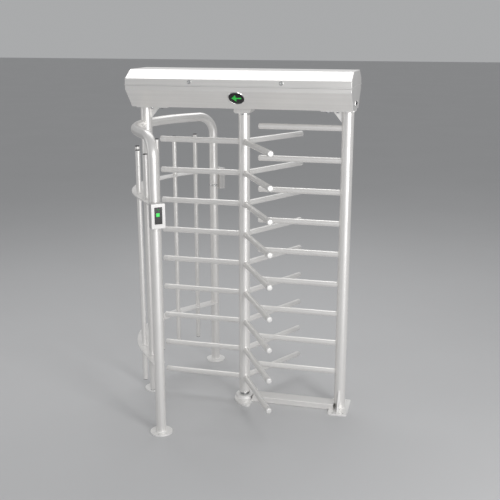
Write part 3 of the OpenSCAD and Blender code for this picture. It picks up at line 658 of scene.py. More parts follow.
class Stock:
    """The mesh of one piece while it is being made, with its run map: round, then along, in metres."""

    def __init__(self) -> None:
        """Start empty."""
        self.points: list[Vector] = []
        self.faces: list[list[int]] = []
        self.run: list[list[Point2]] = []
        self.flat: set[int] = set()

    def add(
        self, points: Iterable, faces: Iterable, run: Sequence | None = None, at: Matrix = IDENTITY
    ) -> None:
        """Add a shell.

        Args:
            points: Its corners.
            faces: Corner numbers of each face.
            run: The run map of each face's corners.
            at: Where the shell goes.
        """
        start = len(self.points)
        flip = at.determinant() < 0
        self.points += [at @ Vector(p) for p in points]
        for i, face in enumerate(faces):
            row = [start + k for k in face]
            marks = list(run[i]) if run else [(0.0, 0.0)] * len(row)
            if flip:
                row.reverse()
                marks.reverse()
            self.faces.append(row)
            self.run.append(marks)

    def rings(self, rings: Sequence[Sequence[Vector]], at: Matrix = IDENTITY, loop: bool = False) -> None:
        """Skin a row of rings, where a ring of one point is a pole.

        Args:
            rings: The rings in order, counter-clockwise about the way they run.
            at: Where the shell goes.
            loop: Whether the last ring joins the first.
        """
        points: list[Vector] = [p for ring in rings for p in ring]
        starts, count = [], 0
        for ring in rings:
            starts.append(count)
            count += len(ring)
        sides = max(len(ring) for ring in rings)
        widest = max(math.dist(ring[0], ring[len(ring) // 2]) for ring in rings)
        chord = math.pi * widest / sides * MM
        faces, run, along = [], [], 0.0
        pairs = list(zip(range(len(rings) - 1), range(1, len(rings))))
        for a, b in pairs + ([(len(rings) - 1, 0)] if loop else []):
            step = math.dist(rings[a][0], rings[b][0]) * MM
            for k in range(sides):
                n = (k + 1) % sides
                low = [starts[a]] if len(rings[a]) == 1 else [starts[a] + k, starts[a] + n]
                high = [starts[b]] if len(rings[b]) == 1 else [starts[b] + n, starts[b] + k]
                near = [(k * chord, along), ((k + 1) * chord, along)][: len(low)]
                far = [((k + 1) * chord, along + step), (k * chord, along + step)][: len(high)]
                if len(low) + len(high) > 2:
                    faces.append(low + high)
                    run.append(near + far)
            along += step
        self.add(points, faces, run, at)

    def lathe(
        self, profile: Sequence[Point2], sides: int = 48, at: Matrix = IDENTITY, loop: bool = False
    ) -> None:
        """Turn a profile about local +Z.

        Args:
            profile: Radius and height pairs, upwards along the outside.
            sides: Number of sides.
            at: Where the shell goes.
            loop: Whether the profile closes on itself, as a ring's does.
        """
        made = []
        for radius, height in profile:
            if radius < POLE:
                made.append([Vector((0, 0, height))])
            else:
                made.append([Vector((x, y, height)) for x, y in circle((0, 0), radius, sides)])
        self.rings(made, at, loop)

    def sweep(self, path: Sequence[Vector], radius: float, sides: int = 36) -> None:
        """Run a round bar along a path, with both ends closed.

        Args:
            path: Points along its centre line.
            radius: Its radius.
            sides: Number of sides.
        """
        last = len(path) - 1
        ways = [(path[min(i + 1, last)] - path[max(i - 1, 0)]).normalized() for i in range(len(path))]
        side = ways[0].orthogonal().normalized()
        made: list[list[Vector]] = [[path[0]]]
        for point, way in zip(path, ways):
            side = (side - way * side.dot(way)).normalized()
            up = way.cross(side)
            made.append([point + side * x + up * y for x, y in circle((0, 0), radius, sides)])
        made.append([path[-1]])
        self.rings(made)

    def plate(
        self,
        outline: Sequence[Point2],
        thickness: float,
        edge: float = 0.8,
        low_edge: float | None = None,
        holes: Iterable[Sequence[Point2]] = (),
        at: Matrix = IDENTITY,
    ) -> None:
        """Add a flat plate with rounded edges, from local z 0 up.

        Args:
            outline: Its outline.
            thickness: Its thickness.
            edge: Rounding of its upper edges, and of its lower ones unless they are given.
            low_edge: Rounding of its lower edges.
            holes: Outlines of its holes.
            at: Where the plate goes.
        """
        low = edge if low_edge is None else low_edge
        levels = [(a * low, b * low) for a, b in EDGE_ROUND]
        levels += [(a * edge, thickness - b * edge) for a, b in reversed(EDGE_ROUND)]
        loops = [list(outline), *[list(h) for h in holes]]
        loops = [loop if signed_area(loop) > 0 else loop[::-1] for loop in loops]
        points: list[Vector] = []
        faces: list[list[int]] = []
        bottoms, tops = [], []
        for number, loop in enumerate(loops):
            start, count = len(points), len(loop)
            for off, z in levels:
                shrink = off if number == 0 else -min(off, HOLE_ROUND)
                points += [Vector((x, y, z)) for x, y in inset(loop, shrink)]
            for j in range(len(levels) - 1):
                for k in range(count):
                    a, b = start + j * count + k, start + j * count + (k + 1) % count
                    face = [a, b, b + count, a + count]
                    faces.append(face if number == 0 else face[::-1])
            bottoms.append(list(range(start, start + count)))
            last = start + (len(levels) - 1) * count
            tops.append(list(range(last, last + count)))
        for groups, way in ((bottoms, -1), (tops, 1)):
            numbers = [n for group in groups for n in group]
            flat = [[Vector((points[n].x, points[n].y, 0)) for n in group] for group in groups]
            for triangle in tessellate_polygon(flat):
                face = [numbers[k] for k in triangle]
                area = signed_area([(points[n].x, points[n].y) for n in face])
                self.flat.add(len(self.faces) + len(faces))
                faces.append(face if area * way > 0 else face[::-1])
        self.add(points, faces, None, at)

    def mesh(self, name: str) -> Mesh:
        """The mesh so far, in metres.

        Args:
            name: Name of the mesh.

        Returns:
            The mesh.
        """
        mesh = bpy.data.meshes.new(name)
        mesh.from_pydata([p * MM for p in self.points], [], self.faces)
        layer = mesh.uv_layers.new(name="run")
        layer.data.foreach_set("uv", [c for marks in self.run for mark in marks for c in mark])
        flat = mesh.attributes.new(FLAT, "BOOLEAN", "FACE")
        flat.data.foreach_set("value", [i in self.flat for i in range(len(self.faces))])
        return mesh

    def piece(self, name: str, finish: Finish, body: str, *nodes: str) -> Piece:
        """Finish the mesh as a piece.

        Args:
            name: Name of the piece.
            finish: What it is dressed in.
            body: The body that it moves with.
            nodes: The frame nodes that it stands for.

        Returns:
            The piece.
        """
        made = new_object(name, self.mesh(name))
        smooth(made)
        return hand_over(made, finish, body, *nodes)


def refined(node: str, edge: float, finish: Finish, body: str) -> Piece:
    """Copy a frame node's mesh, join its loose triangles and round its sharp edges.

    Args:
        node: The frame node that the piece stands for.
        edge: Width of the rounding.
        finish: What it is dressed in.
        body: The body that it moves with.

    Returns:
        The piece.
    """
    work = bmesh.new()
    work.from_mesh(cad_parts[node].data)
    bmesh.ops.remove_doubles(work, verts=work.verts, dist=POLE)
    bmesh.ops.dissolve_limit(work, angle_limit=math.radians(0.4), verts=work.verts, edges=work.edges)
    mesh = bpy.data.meshes.new(node)
    work.to_mesh(mesh)
    work.free()
    made = new_object(f"{node}_finished", mesh)
    bevel = made.modifiers.new("worn_edges", "BEVEL")
    bevel.width, bevel.segments = edge * MM, 2
    bevel.limit_method, bevel.angle_limit = "ANGLE", math.radians(35)
    bevel.use_clamp_overlap = True
    settle(made)
    smooth(made, 40)
    return hand_over(made, finish, body, node)


def folded_sheet(
    name: str, outline: Sequence[Point2], box: Sequence[Point2], length: float, sheet: float, bend: float
) -> Piece:
    """Fold a sheet along X round an open cross-section, with an end plate at both ends.

    Args:
        name: Name of the object.
        outline: Depth and height pairs, from the front over or under to the rear.
        box: The corners of the end plates.
        length: Length along X.
        sheet: Thickness, added inwards.
        bend: Rounding of the folds.

    Returns:
        The folded object, not yet dressed.
    """
    stock = Stock()
    xs = (-length / 2, length / 2)
    points = [Vector((x, y, z)) for x in xs for y, z in outline]
    count = len(outline)
    faces = [[i, i + count, i + count + 1, i + 1] for i in range(count - 1)]
    ends = [list(outline).index(corner) for corner in box]
    clockwise = signed_area([outline[i] for i in ends]) < 0
    faces.append(ends if clockwise else ends[::-1])
    faces.append([i + count for i in (ends[::-1] if clockwise else ends)])
    if not clockwise:
        faces = [face[::-1] for face in faces[: count - 1]] + faces[count - 1 :]
    stock.add(points, faces)
    made = new_object(name, stock.mesh(name))
    bevel = made.modifiers.new("folds", "BEVEL")
    bevel.width, bevel.segments = bend * MM, 4
    bevel.limit_method, bevel.angle_limit = "ANGLE", math.radians(15)
    wall = made.modifiers.new("sheet", "SOLIDIFY")
    wall.thickness, wall.offset, wall.use_even_offset = sheet * MM, -1.0, True
    settle(made)
    smooth(made, 60)
    return made


# ---- Geometry trees -------------------------------------------------------------------------------


class Tree:
    """A geometry tree while its nodes are being wired, and the runner of the finished tree."""

    def __init__(self, name: str) -> None:
        """Start a tree with a geometry input and output.

        Args:
            name: Name of the tree.
        """
        self.group = bpy.data.node_groups.new(name, "GeometryNodeTree")
        for way in ("INPUT", "OUTPUT"):
            self.group.interface.new_socket("Geometry", in_out=way, socket_type="NodeSocketGeometry")
        self.source = self.group.nodes.new("NodeGroupInput")
        self.sink = self.group.nodes.new("NodeGroupOutput")
        self.inputs: dict[str, str] = {}
        self.material = self.ask("Material", "NodeSocketMaterial")

    def ask(self, name: str, kind: str) -> Socket:
        """Add a named input.

        Args:
            name: Name of the input.
            kind: Type of its socket.

        Returns:
            The group input's output socket.
        """
        item = self.group.interface.new_socket(name, in_out="INPUT", socket_type=kind)
        self.inputs[name] = item.identifier
        return self.source.outputs[name]

    def node(self, kind: str, wires: dict | None = None, values: dict | None = None, **settings: str) -> Node:
        """Add a node.

        Args:
            kind: Type of the node.
            wires: Output sockets to link, by input socket name.
            values: Constant inputs by socket name.
            settings: Properties of the node itself.

        Returns:
            The new node.
        """
        made = self.group.nodes.new(kind)
        for name, value in settings.items():
            setattr(made, name, value)
        for name, value in (values or {}).items():
            made.inputs[name].default_value = value
        for name, output in (wires or {}).items():
            self.group.links.new(output, made.inputs[name])
        return made

    def close(self, instances: Socket) -> None:
        """End the tree: real geometry, dressed, and out.

        Args:
            instances: The instances that the tree makes.
        """
        real = self.node("GeometryNodeRealizeInstances", {"Geometry": instances})
        wires = {"Geometry": real.outputs[0], "Material": self.material}
        dressed = self.node("GeometryNodeSetMaterial", wires)
        self.group.links.new(dressed.outputs[0], self.sink.inputs["Geometry"])

    def run(self, name: str, base: Mesh, finish: Finish, values: dict) -> Piece:
        """Run the finished tree on a base mesh and keep the plain result.

        Args:
            name: Name of the object.
            base: The mesh that goes in.
            finish: What the result is dressed in.
            values: Named inputs of the tree.

        Returns:
            The object, with its modifier already gone.
        """
        made = new_object(name, base)
        modifier = made.modifiers.new(self.group.name, "NODES")
        modifier.node_group = self.group
        for key, value in {"Material": finish.material(), **values}.items():
            modifier[self.inputs[key]] = value
        settle(made)
        smooth(made)
        return made


class Pattern:
    """A small hidden object that a tree repeats, taken away when it has been used."""

    def __init__(self, stock: Stock) -> None:
        """Make the object.

        Args:
            stock: Its mesh.
        """
        self.object = new_object("pattern", stock.mesh("pattern"))
        self.object.data.polygons.foreach_set("use_smooth", [True] * len(self.object.data.polygons))

    def __enter__(self) -> Piece:
        """The object to repeat."""
        return self.object

    def __exit__(self, *_: object) -> None:
        """Take the object away."""
        bpy.data.objects.remove(self.object)


class Ladder:
    """Repeats one bar at even heights, as the arms of a wing and the bars of the comb are."""

    def __init__(self) -> None:
        """Wire the tree."""
        tree = Tree("ladder")
        bar = tree.ask("Bar", "NodeSocketObject")
        count = tree.ask("Count", "NodeSocketInt")
        lowest = tree.ask("Lowest", "NodeSocketFloat")
        pitch = tree.ask("Pitch", "NodeSocketFloat")
        start = tree.node("ShaderNodeCombineXYZ", {"Z": lowest})
        step = tree.node("ShaderNodeCombineXYZ", {"Z": pitch})
        wires = {"Count": count, "Start Location": start.outputs[0], "Offset": step.outputs[0]}
        line = tree.node("GeometryNodeMeshLine", wires)
        shape = tree.node("GeometryNodeObjectInfo", {"Object": bar})
        wires = {"Points": line.outputs[0], "Instance": shape.outputs["Geometry"]}
        tree.close(tree.node("GeometryNodeInstanceOnPoints", wires).outputs[0])
        self.tree = tree

    def make(
        self, name: str, bar: Stock, finish: Finish, count: int, lowest: float, pitch: float
    ) -> Piece:
        """Repeat a bar.

        Args:
            name: Name of the object.
            bar: The bar at height zero.
            finish: What the bars are dressed in.
            count: Number of bars.
            lowest: Height of the lowest.
            pitch: Height from one to the next.

        Returns:
            The plain object.
        """
        with Pattern(bar) as shape:
            values = {"Bar": shape, "Count": count, "Lowest": lowest * MM, "Pitch": pitch * MM}
            return self.tree.run(name, bpy.data.meshes.new(name), finish, values)


class Setting:
    """Puts one part at each point of a base mesh, turned as the point says, as fixings are."""

    def __init__(self) -> None:
        """Wire the tree."""
        tree = Tree("setting")
        part = tree.ask("Part", "NodeSocketObject")
        named = {"Name": "turn"}
        turn = tree.node("GeometryNodeInputNamedAttribute", values=named, data_type="FLOAT_VECTOR")
        way = tree.node("FunctionNodeEulerToRotation", {"Euler": turn.outputs[0]})
        shape = tree.node("GeometryNodeObjectInfo", {"Object": part})
        wires = {
            "Points": tree.source.outputs["Geometry"],
            "Instance": shape.outputs["Geometry"],
            "Rotation": way.outputs[0],
        }
        tree.close(tree.node("GeometryNodeInstanceOnPoints", wires).outputs[0])
        self.tree = tree

    def make(self, name: str, part: Stock, places: Sequence[Matrix], finish: Finish) -> Piece:
        """Put a part in its places.

        Args:
            name: Name of the object.
            part: The part at the origin.
            places: Where the parts go.
            finish: What they are dressed in.

        Returns:
            The plain object.
        """
        base = bpy.data.meshes.new(name)
        base.from_pydata([place.translation * MM for place in places], [], [])
        turn = base.attributes.new("turn", "FLOAT_VECTOR", "POINT")
        turn.data.foreach_set("vector", [angle for place in places for angle in place.to_euler()])
        with Pattern(part) as shape:
            return self.tree.run(name, base, finish, {"Part": shape})


class WeldBead:
    """Lays overlapping weld ripples along the edges of a base mesh."""

    def __init__(self) -> None:
        """Wire the tree."""
        tree = Tree("weld_bead")
        width = tree.ask("Width", "NodeSocketFloat")
        step = tree.ask("Step", "NodeSocketFloat")
        flat = tree.ask("Flatness", "NodeSocketFloat")
        line = tree.node("GeometryNodeMeshToCurve", {"Mesh": tree.source.outputs["Geometry"]})
        wires = {"Curve": line.outputs[0], "Length": step}
        spaced = tree.node("GeometryNodeResampleCurve", wires, mode="LENGTH")
        tangent = tree.node("GeometryNodeInputTangent")
        way = tree.node("FunctionNodeAlignRotationToVector", {"Vector": tangent.outputs[0]})
        way.axis = "Z"
        ripple = tree.node("GeometryNodeMeshUVSphere", {"Radius": width}, {"Segments": 8, "Rings": 5})
        scale = tree.node("ShaderNodeCombineXYZ", {"Z": flat}, {"X": 1.0, "Y": 1.0})
        wires = {
            "Points": spaced.outputs[0],
            "Instance": ripple.outputs["Mesh"],
            "Rotation": way.outputs[0],
            "Scale": scale.outputs[0],
        }
        tree.close(tree.node("GeometryNodeInstanceOnPoints", wires).outputs[0])
        self.tree = tree

    def make(self, name: str, lines: Sequence[Sequence[Vector]], width: float, finish: Finish) -> Piece:
        """Lay beads along some lines.

        Args:
            name: Name of the object.
            lines: The lines, each closed where its last point is its first.
            width: Half width of the bead.
            finish: What the beads are dressed in.

        Returns:
            The plain object.
        """
        points, edges = [], []
        for line in lines:
            start, closed = len(points), (line[0] - line[-1]).length < POLE
            row = line[:-1] if closed else line
            points += [p * MM for p in row]
            edges += [(start + k, start + k + 1) for k in range(len(row) - 1)]
            if closed:
                edges.append((start + len(row) - 1, start))
        base = bpy.data.meshes.new(name)
        base.from_pydata(points, edges, [])
        values = {"Width": width * MM, "Step": RIPPLE_STEP * width * MM, "Flatness": RIPPLE_FLATNESS}
        return self.tree.run(name, base, finish, values)


@dataclass
class Shop:
    """The trees that several sub-assemblies share."""

    ladder: Ladder
    setting: Setting
    weld: WeldBead


# ---- Head -----------------------------------------------------------------------------------------


@dataclass
class Head:
    """The long folded head: a tray below, a hinged lid above, with its locks and hinges."""

    shop: Shop
    sheet: float = 2.5
    bend: float = 3.2
    lid_top_half: float = 142.0
    lid_slope: float = 54.0
    tray_floor_half: float = 131.0
    tray_band: float = 26.0
    flange: float = 14.0
    hem: float = 2.4
    hem_height: float = 7.0
    hem_drop: float = 1.6
    hem_lap: float = 0.5
    hem_stop: float = 3.0
    lock_flange: float = 13.5
    lock_bore: float = 6.5
    lock_barrel: float = 9.5
    lock_depth: float = 18.0
    lock_nut: float = 14.0
    lock_nut_at: Point2 = (-7.5, -2.5)
    lock_plug: float = 12.8
    screw_rows: Point2 = (16.0, 24.0)
    hinge_places: tuple[float, ...] = (-500.0, 0.0, 500.0)
    hinge_leaf: float = 1.5
    inlet_depth: float = 3.0
    inlet_bezel: float = 2.0
    insert_depth: float = 5.8
    insert_sunk: float = 3.2
    insert_lap: float = 0.2
    gland_offset: float = 22.0

    def build(self) -> None:
        """Build the whole head."""
        self.lid()
        self.tray()
        self.lid_hem()
        self.locks()
        self.hinges()
        self.inlet()

    def lid(self) -> None:
        """The folded lid: upright bands, sloping shoulders and a flat top."""
        low, high = span("head_lid")
        shoulder = high.z - self.lid_slope
        outline = [
            (low.y, low.z), (low.y, shoulder), (-self.lid_top_half, high.z),
            (self.lid_top_half, high.z), (high.y, shoulder), (high.y, low.z),
        ]
        lid = folded_sheet("lid_shell", outline, outline, high.x - low.x, self.sheet, self.bend)
        hand_over(lid, SHEET, "lid", "head_lid")

    def tray(self) -> None:
        """The folded tray: a flat floor, slanted sides, upright bands and returned flanges."""
        low, high = span("head_tray")
        shoulder = high.z - self.tray_band
        box = [
            (low.y, high.z), (low.y, shoulder), (-self.tray_floor_half, low.z),
            (self.tray_floor_half, low.z), (high.y, shoulder), (high.y, high.z),
        ]
        outline = [(low.y + self.flange, high.z), *box, (high.y - self.flange, high.z)]
        tray = folded_sheet("tray_shell", outline, box, high.x - low.x, self.sheet, self.bend)
        hand_over(tray, SHEET, "frame", "head_tray")

    def lid_hem(self) -> None:
        """A bright hem along the front and the ends of the lid's lower edge."""
        low, high = span("head_lid")
        rear = high.y - self.hem_stop
        left, front, right = low.x - self.hem, low.y - self.hem, high.x + self.hem
        outline = [(left, rear), (left, front), (right, front), (right, rear)]
        left, front, right = low.x + self.hem_lap, low.y + self.hem_lap, high.x - self.hem_lap
        outline += [(right, rear), (right, front), (left, front), (left, rear)]
        stock = Stock()
        stock.plate(fillet(outline, 1), self.hem_height, 2.2, 0.6, at=moved(z=low.z - self.hem_drop))
        stock.piece("lid_hem", SLEEVE, "lid")

    def locks(self) -> None:
        """The two lock barrels with their flanges and nuts, and their plugs."""
        stock = Stock()
        bore, barrel, rim, depth = self.lock_bore, self.lock_barrel, self.lock_flange, self.lock_depth
        low, high = self.lock_nut_at
        for node in ("left_lock_cam", "right_lock_cam"):
            x = span(node)[0].x + self.lock_plug / 2
            place = facing((x, span("head_lid")[0].y, middle("lock_housings").z), (0, -1, 0))
            ring = [(bore, -depth), (barrel, -depth), (barrel, 0), (rim, 0), (rim, 1.2)]
            ring += [(rim - 2.2, 2.1), (bore + 1.2, 2.1), (bore, 1.4)]
            stock.lathe(ring, 40, place, loop=True)
            nut = ring_profile(barrel - 0.1, self.lock_nut, low, high)
            stock.lathe(fillet(nut, 0.6), 6, place, loop=True)
        stock.piece("lock_barrels", TRIM, "lid", "lock_housings")
        refined("left_lock_cam", 0.3, MACHINED, "left_lock")
        refined("right_lock_cam", 0.3, MACHINED, "right_lock")
        refined("lock_keepers", 0.4, SHEET, "frame")

    def hinges(self) -> None:
        """The three rear hinges with their pins and countersunk screws."""
        refined("tray_hinge_leaves", 0.3, SHEET, "frame")
        refined("lid_hinge_leaves", 0.3, SHEET, "lid")
        refined("hinge_pins", 0.3, MACHINED, "frame")
        screw = Stock()
        screw.lathe([(0, -0.6), (3.5, -0.6), (3.7, 0.1), (3.0, 1.0), (1.4, 1.3), (1.2, 0.5), (0, 0.4)], 14)
        drop, step = self.screw_rows
        columns = [x + dx for x in self.hinge_places for dx in (-step, 0, step)]
        for half, body, way in (("tray", "frame", -1), ("lid", "lid", 1)):
            face = span(f"{half}_hinge_leaves")[0].y + self.hinge_leaf
            level = middle("hinge_pins").z + way * drop
            spots = [facing((x, face, level), (0, 1, 0)) for x in columns]
            hand_over(self.shop.setting.make(f"{half}_hinge_screws", screw, spots, ZINC), ZINC, body)

    def inlet(self) -> None:
        """The cable inlet on the right end: a light frame round a black insert with two glands."""
        low, high = span("cable_inlet")
        place = along_x(high.x - self.inlet_depth, middle("cable_inlet").z)
        width, height = high.y - low.y, high.z - low.z
        stock = Stock()
        less = 2 * self.inlet_bezel
        opening = fillet(rectangle(width - less, height - less), 2)
        stock.plate(fillet(rectangle(width, height), 3), self.inlet_depth, 0.7, holes=[opening], at=place)
        stock.piece("inlet_frame", TRIM, "frame")
        stock = Stock()
        less -= 2 * self.insert_lap
        insert = fillet(rectangle(width - less, height - less), 2)
        stock.plate(insert, self.insert_depth, 0.5, at=place @ moved(z=-self.insert_sunk))
        gland = fillet([(8.0, 1.4), (8.0, 3.4), (5.4, 4.6), (4.4, 4.6), (4.4, 1.4)], 0.5)
        for side in (-1, 1):
            stock.lathe(gland, 28, place @ moved(x=side * self.gland_offset), loop=True)
        stock.piece("inlet_insert", PLASTIC, "frame", "cable_inlet")


@dataclass
class Indicator:
    """A round direction indicator on one slanted face of the tray: bezel, dark lens and a lit arrow."""

    shop: Shop
    side: int
    slant: float = 42.97
    bezel: float = 56.0
    lens: float = 50.0
    proud: float = 4.0
    barrel: Point2 = (52.0, 16.0)
    crown: Point2 = (1.2, 1.6)
    rings: int = 7
    dot: float = 1.9
    dot_pitch: float = 4.2
    arrow_reach: float = 31.0
    arrow_tail: float = 4.3

    @property
    def label(self) -> str:
        """Which side of the head this indicator is on."""
        return "front" if self.side < 0 else "rear"

    def place(self) -> Matrix:
        """The frame on the slanted face, with local +Z pointing out."""
        angle = math.radians(self.slant)
        out = Vector((0, self.side * math.cos(angle), -math.sin(angle)))
        across = Vector((-self.side, 0, 0))
        up = out.cross(across)
        centre = middle(f"{self.label}_indicator_lens")
        rows = [(across[i], up[i], out[i], centre[i]) for i in range(3)]
        return Matrix((*rows, (0, 0, 0, 1)))

    def build(self) -> None:
        """Build the bezel, the lens and the arrow."""
        place = self.place()
        stock = Stock()
        proud, (barrel, depth) = self.proud, self.barrel
        ring = [(self.lens, -3), (barrel, -3), (self.bezel, 0), (self.bezel, 1.6)]
        ring += [(self.bezel - 2.4, proud), (self.lens + 1.6, proud), (self.lens, proud - 1.6)]
        stock.lathe(fillet(ring, 0.8), 64, place, loop=True)
        can = [(0, -depth), (barrel, -depth), (barrel, -1), (0, -1)]
        stock.lathe(fillet(can, 1, closed=False), 48, place)
        stock.piece(f"{self.label}_bezel", TRIM, "frame", f"{self.label}_indicator_bezel")
        stock = Stock()
        base, crown = self.crown
        angles = [math.pi / 2 * k / self.rings for k in range(self.rings, 0, -1)]
        dome = [(self.lens * math.sin(a), base + crown * math.cos(a)) for a in angles]
        stock.lathe([(0, -0.9), (self.lens, -0.9), *dome, (0, base + crown)], 64, place)
        stock.piece(f"{self.label}_lens", WINDOW, "frame", f"{self.label}_indicator_lens")
        self.arrow(place)

    def arrow(self, place: Matrix) -> None:
        """Light a plain arrow of small lamps that points to the open lane.

        Args:
            place: The indicator's frame.
        """
        dot = Stock()
        dot.lathe([(0, -0.4), (self.dot, -0.4), (self.dot, 0.3), (self.dot * 0.6, 0.8), (0, 1.0)], 8)
        count = int(self.arrow_reach / self.dot_pitch)
        base, crown = self.crown
        spots = []
        for i in range(-count, count + 1):
            for j in range(-count, count + 1):
                in_head = i > 0 and abs(j) <= count - i
                in_tail = i <= 0 and abs(j) * self.dot_pitch <= self.arrow_tail
                if in_head or in_tail:
                    x, y = i * self.dot_pitch, j * self.dot_pitch
                    reach = math.hypot(x, y) / self.lens
                    rise = base + crown * math.sqrt(1 - reach * reach)
                    spots.append(place @ moved(self.side * x, y, rise))
        lit = self.shop.setting.make(f"{self.label}_arrow", dot, spots, LIT)
        hand_over(lit, LIT, "frame")


# ---- Posts and floor parts ------------------------------------------------------------------------


@dataclass
class Posts:
    """The two posts with their head brackets, the right post's base and the base beam."""

    shop: Shop
    radius: float = 38.0
    wall: float = 3.0
    bracket: float = 12.0
    bracket_reach: Point2 = (168.0, 45.0)
    bracket_half: float = 60.0
    gusset: float = 8.0
    bolt_places: tuple[Point2, ...] = ((128.0, 40.0), (60.0, 47.0))
    web: tuple[Point2, ...] = ((8.0, 0.0), (-55.0, 0.0), (-55.0, -6.0))
    web_root: Point2 = (-2.0, 8.0)
    bolt: float = 5.0
    bolt_head: float = 9.8
    bolt_flat: float = 7.0
    bolt_end: float = 26.0
    washer: Point2 = (10.5, 1.6)
    nut: Point2 = (14.5, 22.0)
    plate_corner: float = 14.0
    plate_anchor: Point2 = (36.5, 103.0)
    anchor: float = 6.5
    gusset_reach: float = 110.0
    gusset_height: float = 136.0
    gusset_toe: float = 12.0
    beam_wall: float = 3.0

    def build(self) -> None:
        """Build the posts and everything at their ends."""
        for node in ("left_post", "right_post"):
            self.post(node)
        self.brackets()
        self.bolts()
        self.base_plate()
        self.base_gussets()
        self.beam()

    def post(self, node: str) -> None:
        """One post, a plain welded tube.

        Args:
            node: The frame node that it stands for.
        """
        low, high = span(node)
        centre = middle(node)
        tube = ring_profile(self.radius - self.wall, self.radius, low.z, high.z)
        stock = Stock()
        stock.lathe(fillet(tube, 0.6), 64, moved(centre.x, centre.y), loop=True)
        stock.piece(f"{node}_tube", TUBE, "frame", node)

    def brackets(self) -> None:
        """The plate on top of each post, with its gusset and its weld."""
        stock, beads = Stock(), []
        low, high = span("head_brackets")
        for side, node in ((-1, "left_post"), (1, "right_post")):
            x = middle(node).x
            inner, outer = self.bracket_reach
            ends = sorted((x - side * inner, x + side * outer))
            flat = rectangle(ends[1] - ends[0], 2 * self.bracket_half, (sum(ends) / 2, 0))
            places = [(x - side * px, sy * py) for px, py in self.bolt_places for sy in (-1, 1)]
            holes = [circle(place, self.bolt + 0.5, 20) for place in places]
            stock.plate(fillet(flat, 5), self.bracket, 1.2, holes=holes, at=moved(z=high.z - self.bracket))
            top, edge = high.z - self.bracket, x - side * self.radius
            web = [*self.web, *((root, low.z - top) for root in self.web_root)]
            web = [(edge + side * a, top + b) for a, b in web]
            stock.plate(fillet(web, 2), self.gusset, 0.8, at=along_y(self.gusset / 2))
            rim = [Vector((a, b, top - 0.8)) for a, b in arc((x, 0), self.radius + 1, 0, 360, 60)]
            beads.append(rim)
        stock.piece("bracket_plates", PLATE, "frame", "head_brackets")
        hand_over(self.shop.weld.make("bracket_welds", beads, 2.6, PLATE), PLATE, "frame")

    def bolts(self) -> None:
        """Hexagon bolts through the brackets, each with a washer, and a nut inside the tray."""
        part = Stock()
        bolt, head, flat, end = self.bolt, self.bolt_head, self.bolt_flat, self.bolt_end
        rim, thick = self.washer
        dome = [(0, -flat - thick), (head * 0.82, -flat - thick), (head, -flat - 0.4)]
        part.lathe([*dome, (head, -thick), (0, -thick)], 6)
        part.lathe(fillet(ring_profile(bolt, rim, -thick, 0), 0.3), 28, loop=True)
        part.lathe([(0, -2), (bolt, -2), (bolt, end - 1), (bolt - 1, end), (0, end)], 20)
        part.lathe(fillet(ring_profile(bolt, head, *self.nut), 0.7), 6, loop=True)
        top = span("head_brackets")[1].z - self.bracket
        spots = []
        for side, node in ((-1, "left_post"), (1, "right_post")):
            for px, py in self.bolt_places:
                for sy in (-1, 1):
                    spots.append(moved(middle(node).x - side * px, sy * py, top) @ turned(17 * sy + px))
        hand_over(self.shop.setting.make("bracket_bolts", part, spots, ZINC), ZINC, "frame", "head_bolts")

    def base_plate(self) -> None:
        """The right post's floor plate with four anchor holes."""
        low, high = span("right_base_plate")
        centre = middle("right_base_plate")
        flat = fillet(rectangle(high.x - low.x, high.y - low.y, (centre.x, centre.y)), self.plate_corner, 6)
        ax, ay = self.plate_anchor
        holes = [circle((centre.x + sx * ax, sy * ay), self.anchor, 28) for sx in (-1, 1) for sy in (-1, 1)]
        stock = Stock()
        stock.plate(flat, high.z - low.z, 1.4, 0.6, holes, moved(z=low.z))
        stock.piece("base_plate", PLATE, "frame", "right_base_plate")

    def base_gussets(self) -> None:
        """The two webs that brace the right post, with their welds."""
        x, stock, beads = middle("right_post").x, Stock(), []
        low = span("base_gussets")[0].z
        radius, reach, tall = self.radius, self.gusset_reach, self.gusset_height
        web = [(radius - 4, 0), (reach, 0), (reach, self.gusset_toe), (radius + 6, tall), (radius - 4, tall)]
        for side in (-1, 1):
            outline = fillet([(side * y, low + z) for y, z in web], 2.5)
            stock.plate(outline, self.gusset, 0.9, at=along_x(x - self.gusset / 2))
            for face in (-1, 1):
                foot = x + face * (self.gusset / 2 + 0.4)
                beads.append([Vector((foot, side * y, low + 0.9)) for y in (radius + 2, reach - 2)])
                beads.append([Vector((foot, side * (radius + 0.4), low + z)) for z in (4, tall - 2)])
        beads.append([Vector((a, b, low + 0.9)) for a, b in arc((x, 0), self.radius + 1.2, 0, 360, 60)])
        stock.piece("base_webs", PLATE, "frame", "base_gussets")
        hand_over(self.shop.weld.make("base_welds", beads, 2.8, PLATE), PLATE, "frame")

    def beam(self) -> None:
        """The box beam that ties the pedestal to the right post along the floor."""
        low, high = span("base_beam")
        width, height = high.y - low.y, high.z - low.z
        along = along_x(low.x, low.z + height / 2)
        end = middle("right_post").x - self.radius + 2
        stock = Stock()
        inner = fillet(rectangle(width - 2 * self.beam_wall, height - 2 * self.beam_wall), 2.5)
        stock.plate(fillet(rectangle(width, height), 5, 5), end - low.x, 0.6, holes=[inner], at=along)
        stock.piece("floor_beam", BEAM, "frame", "base_beam")


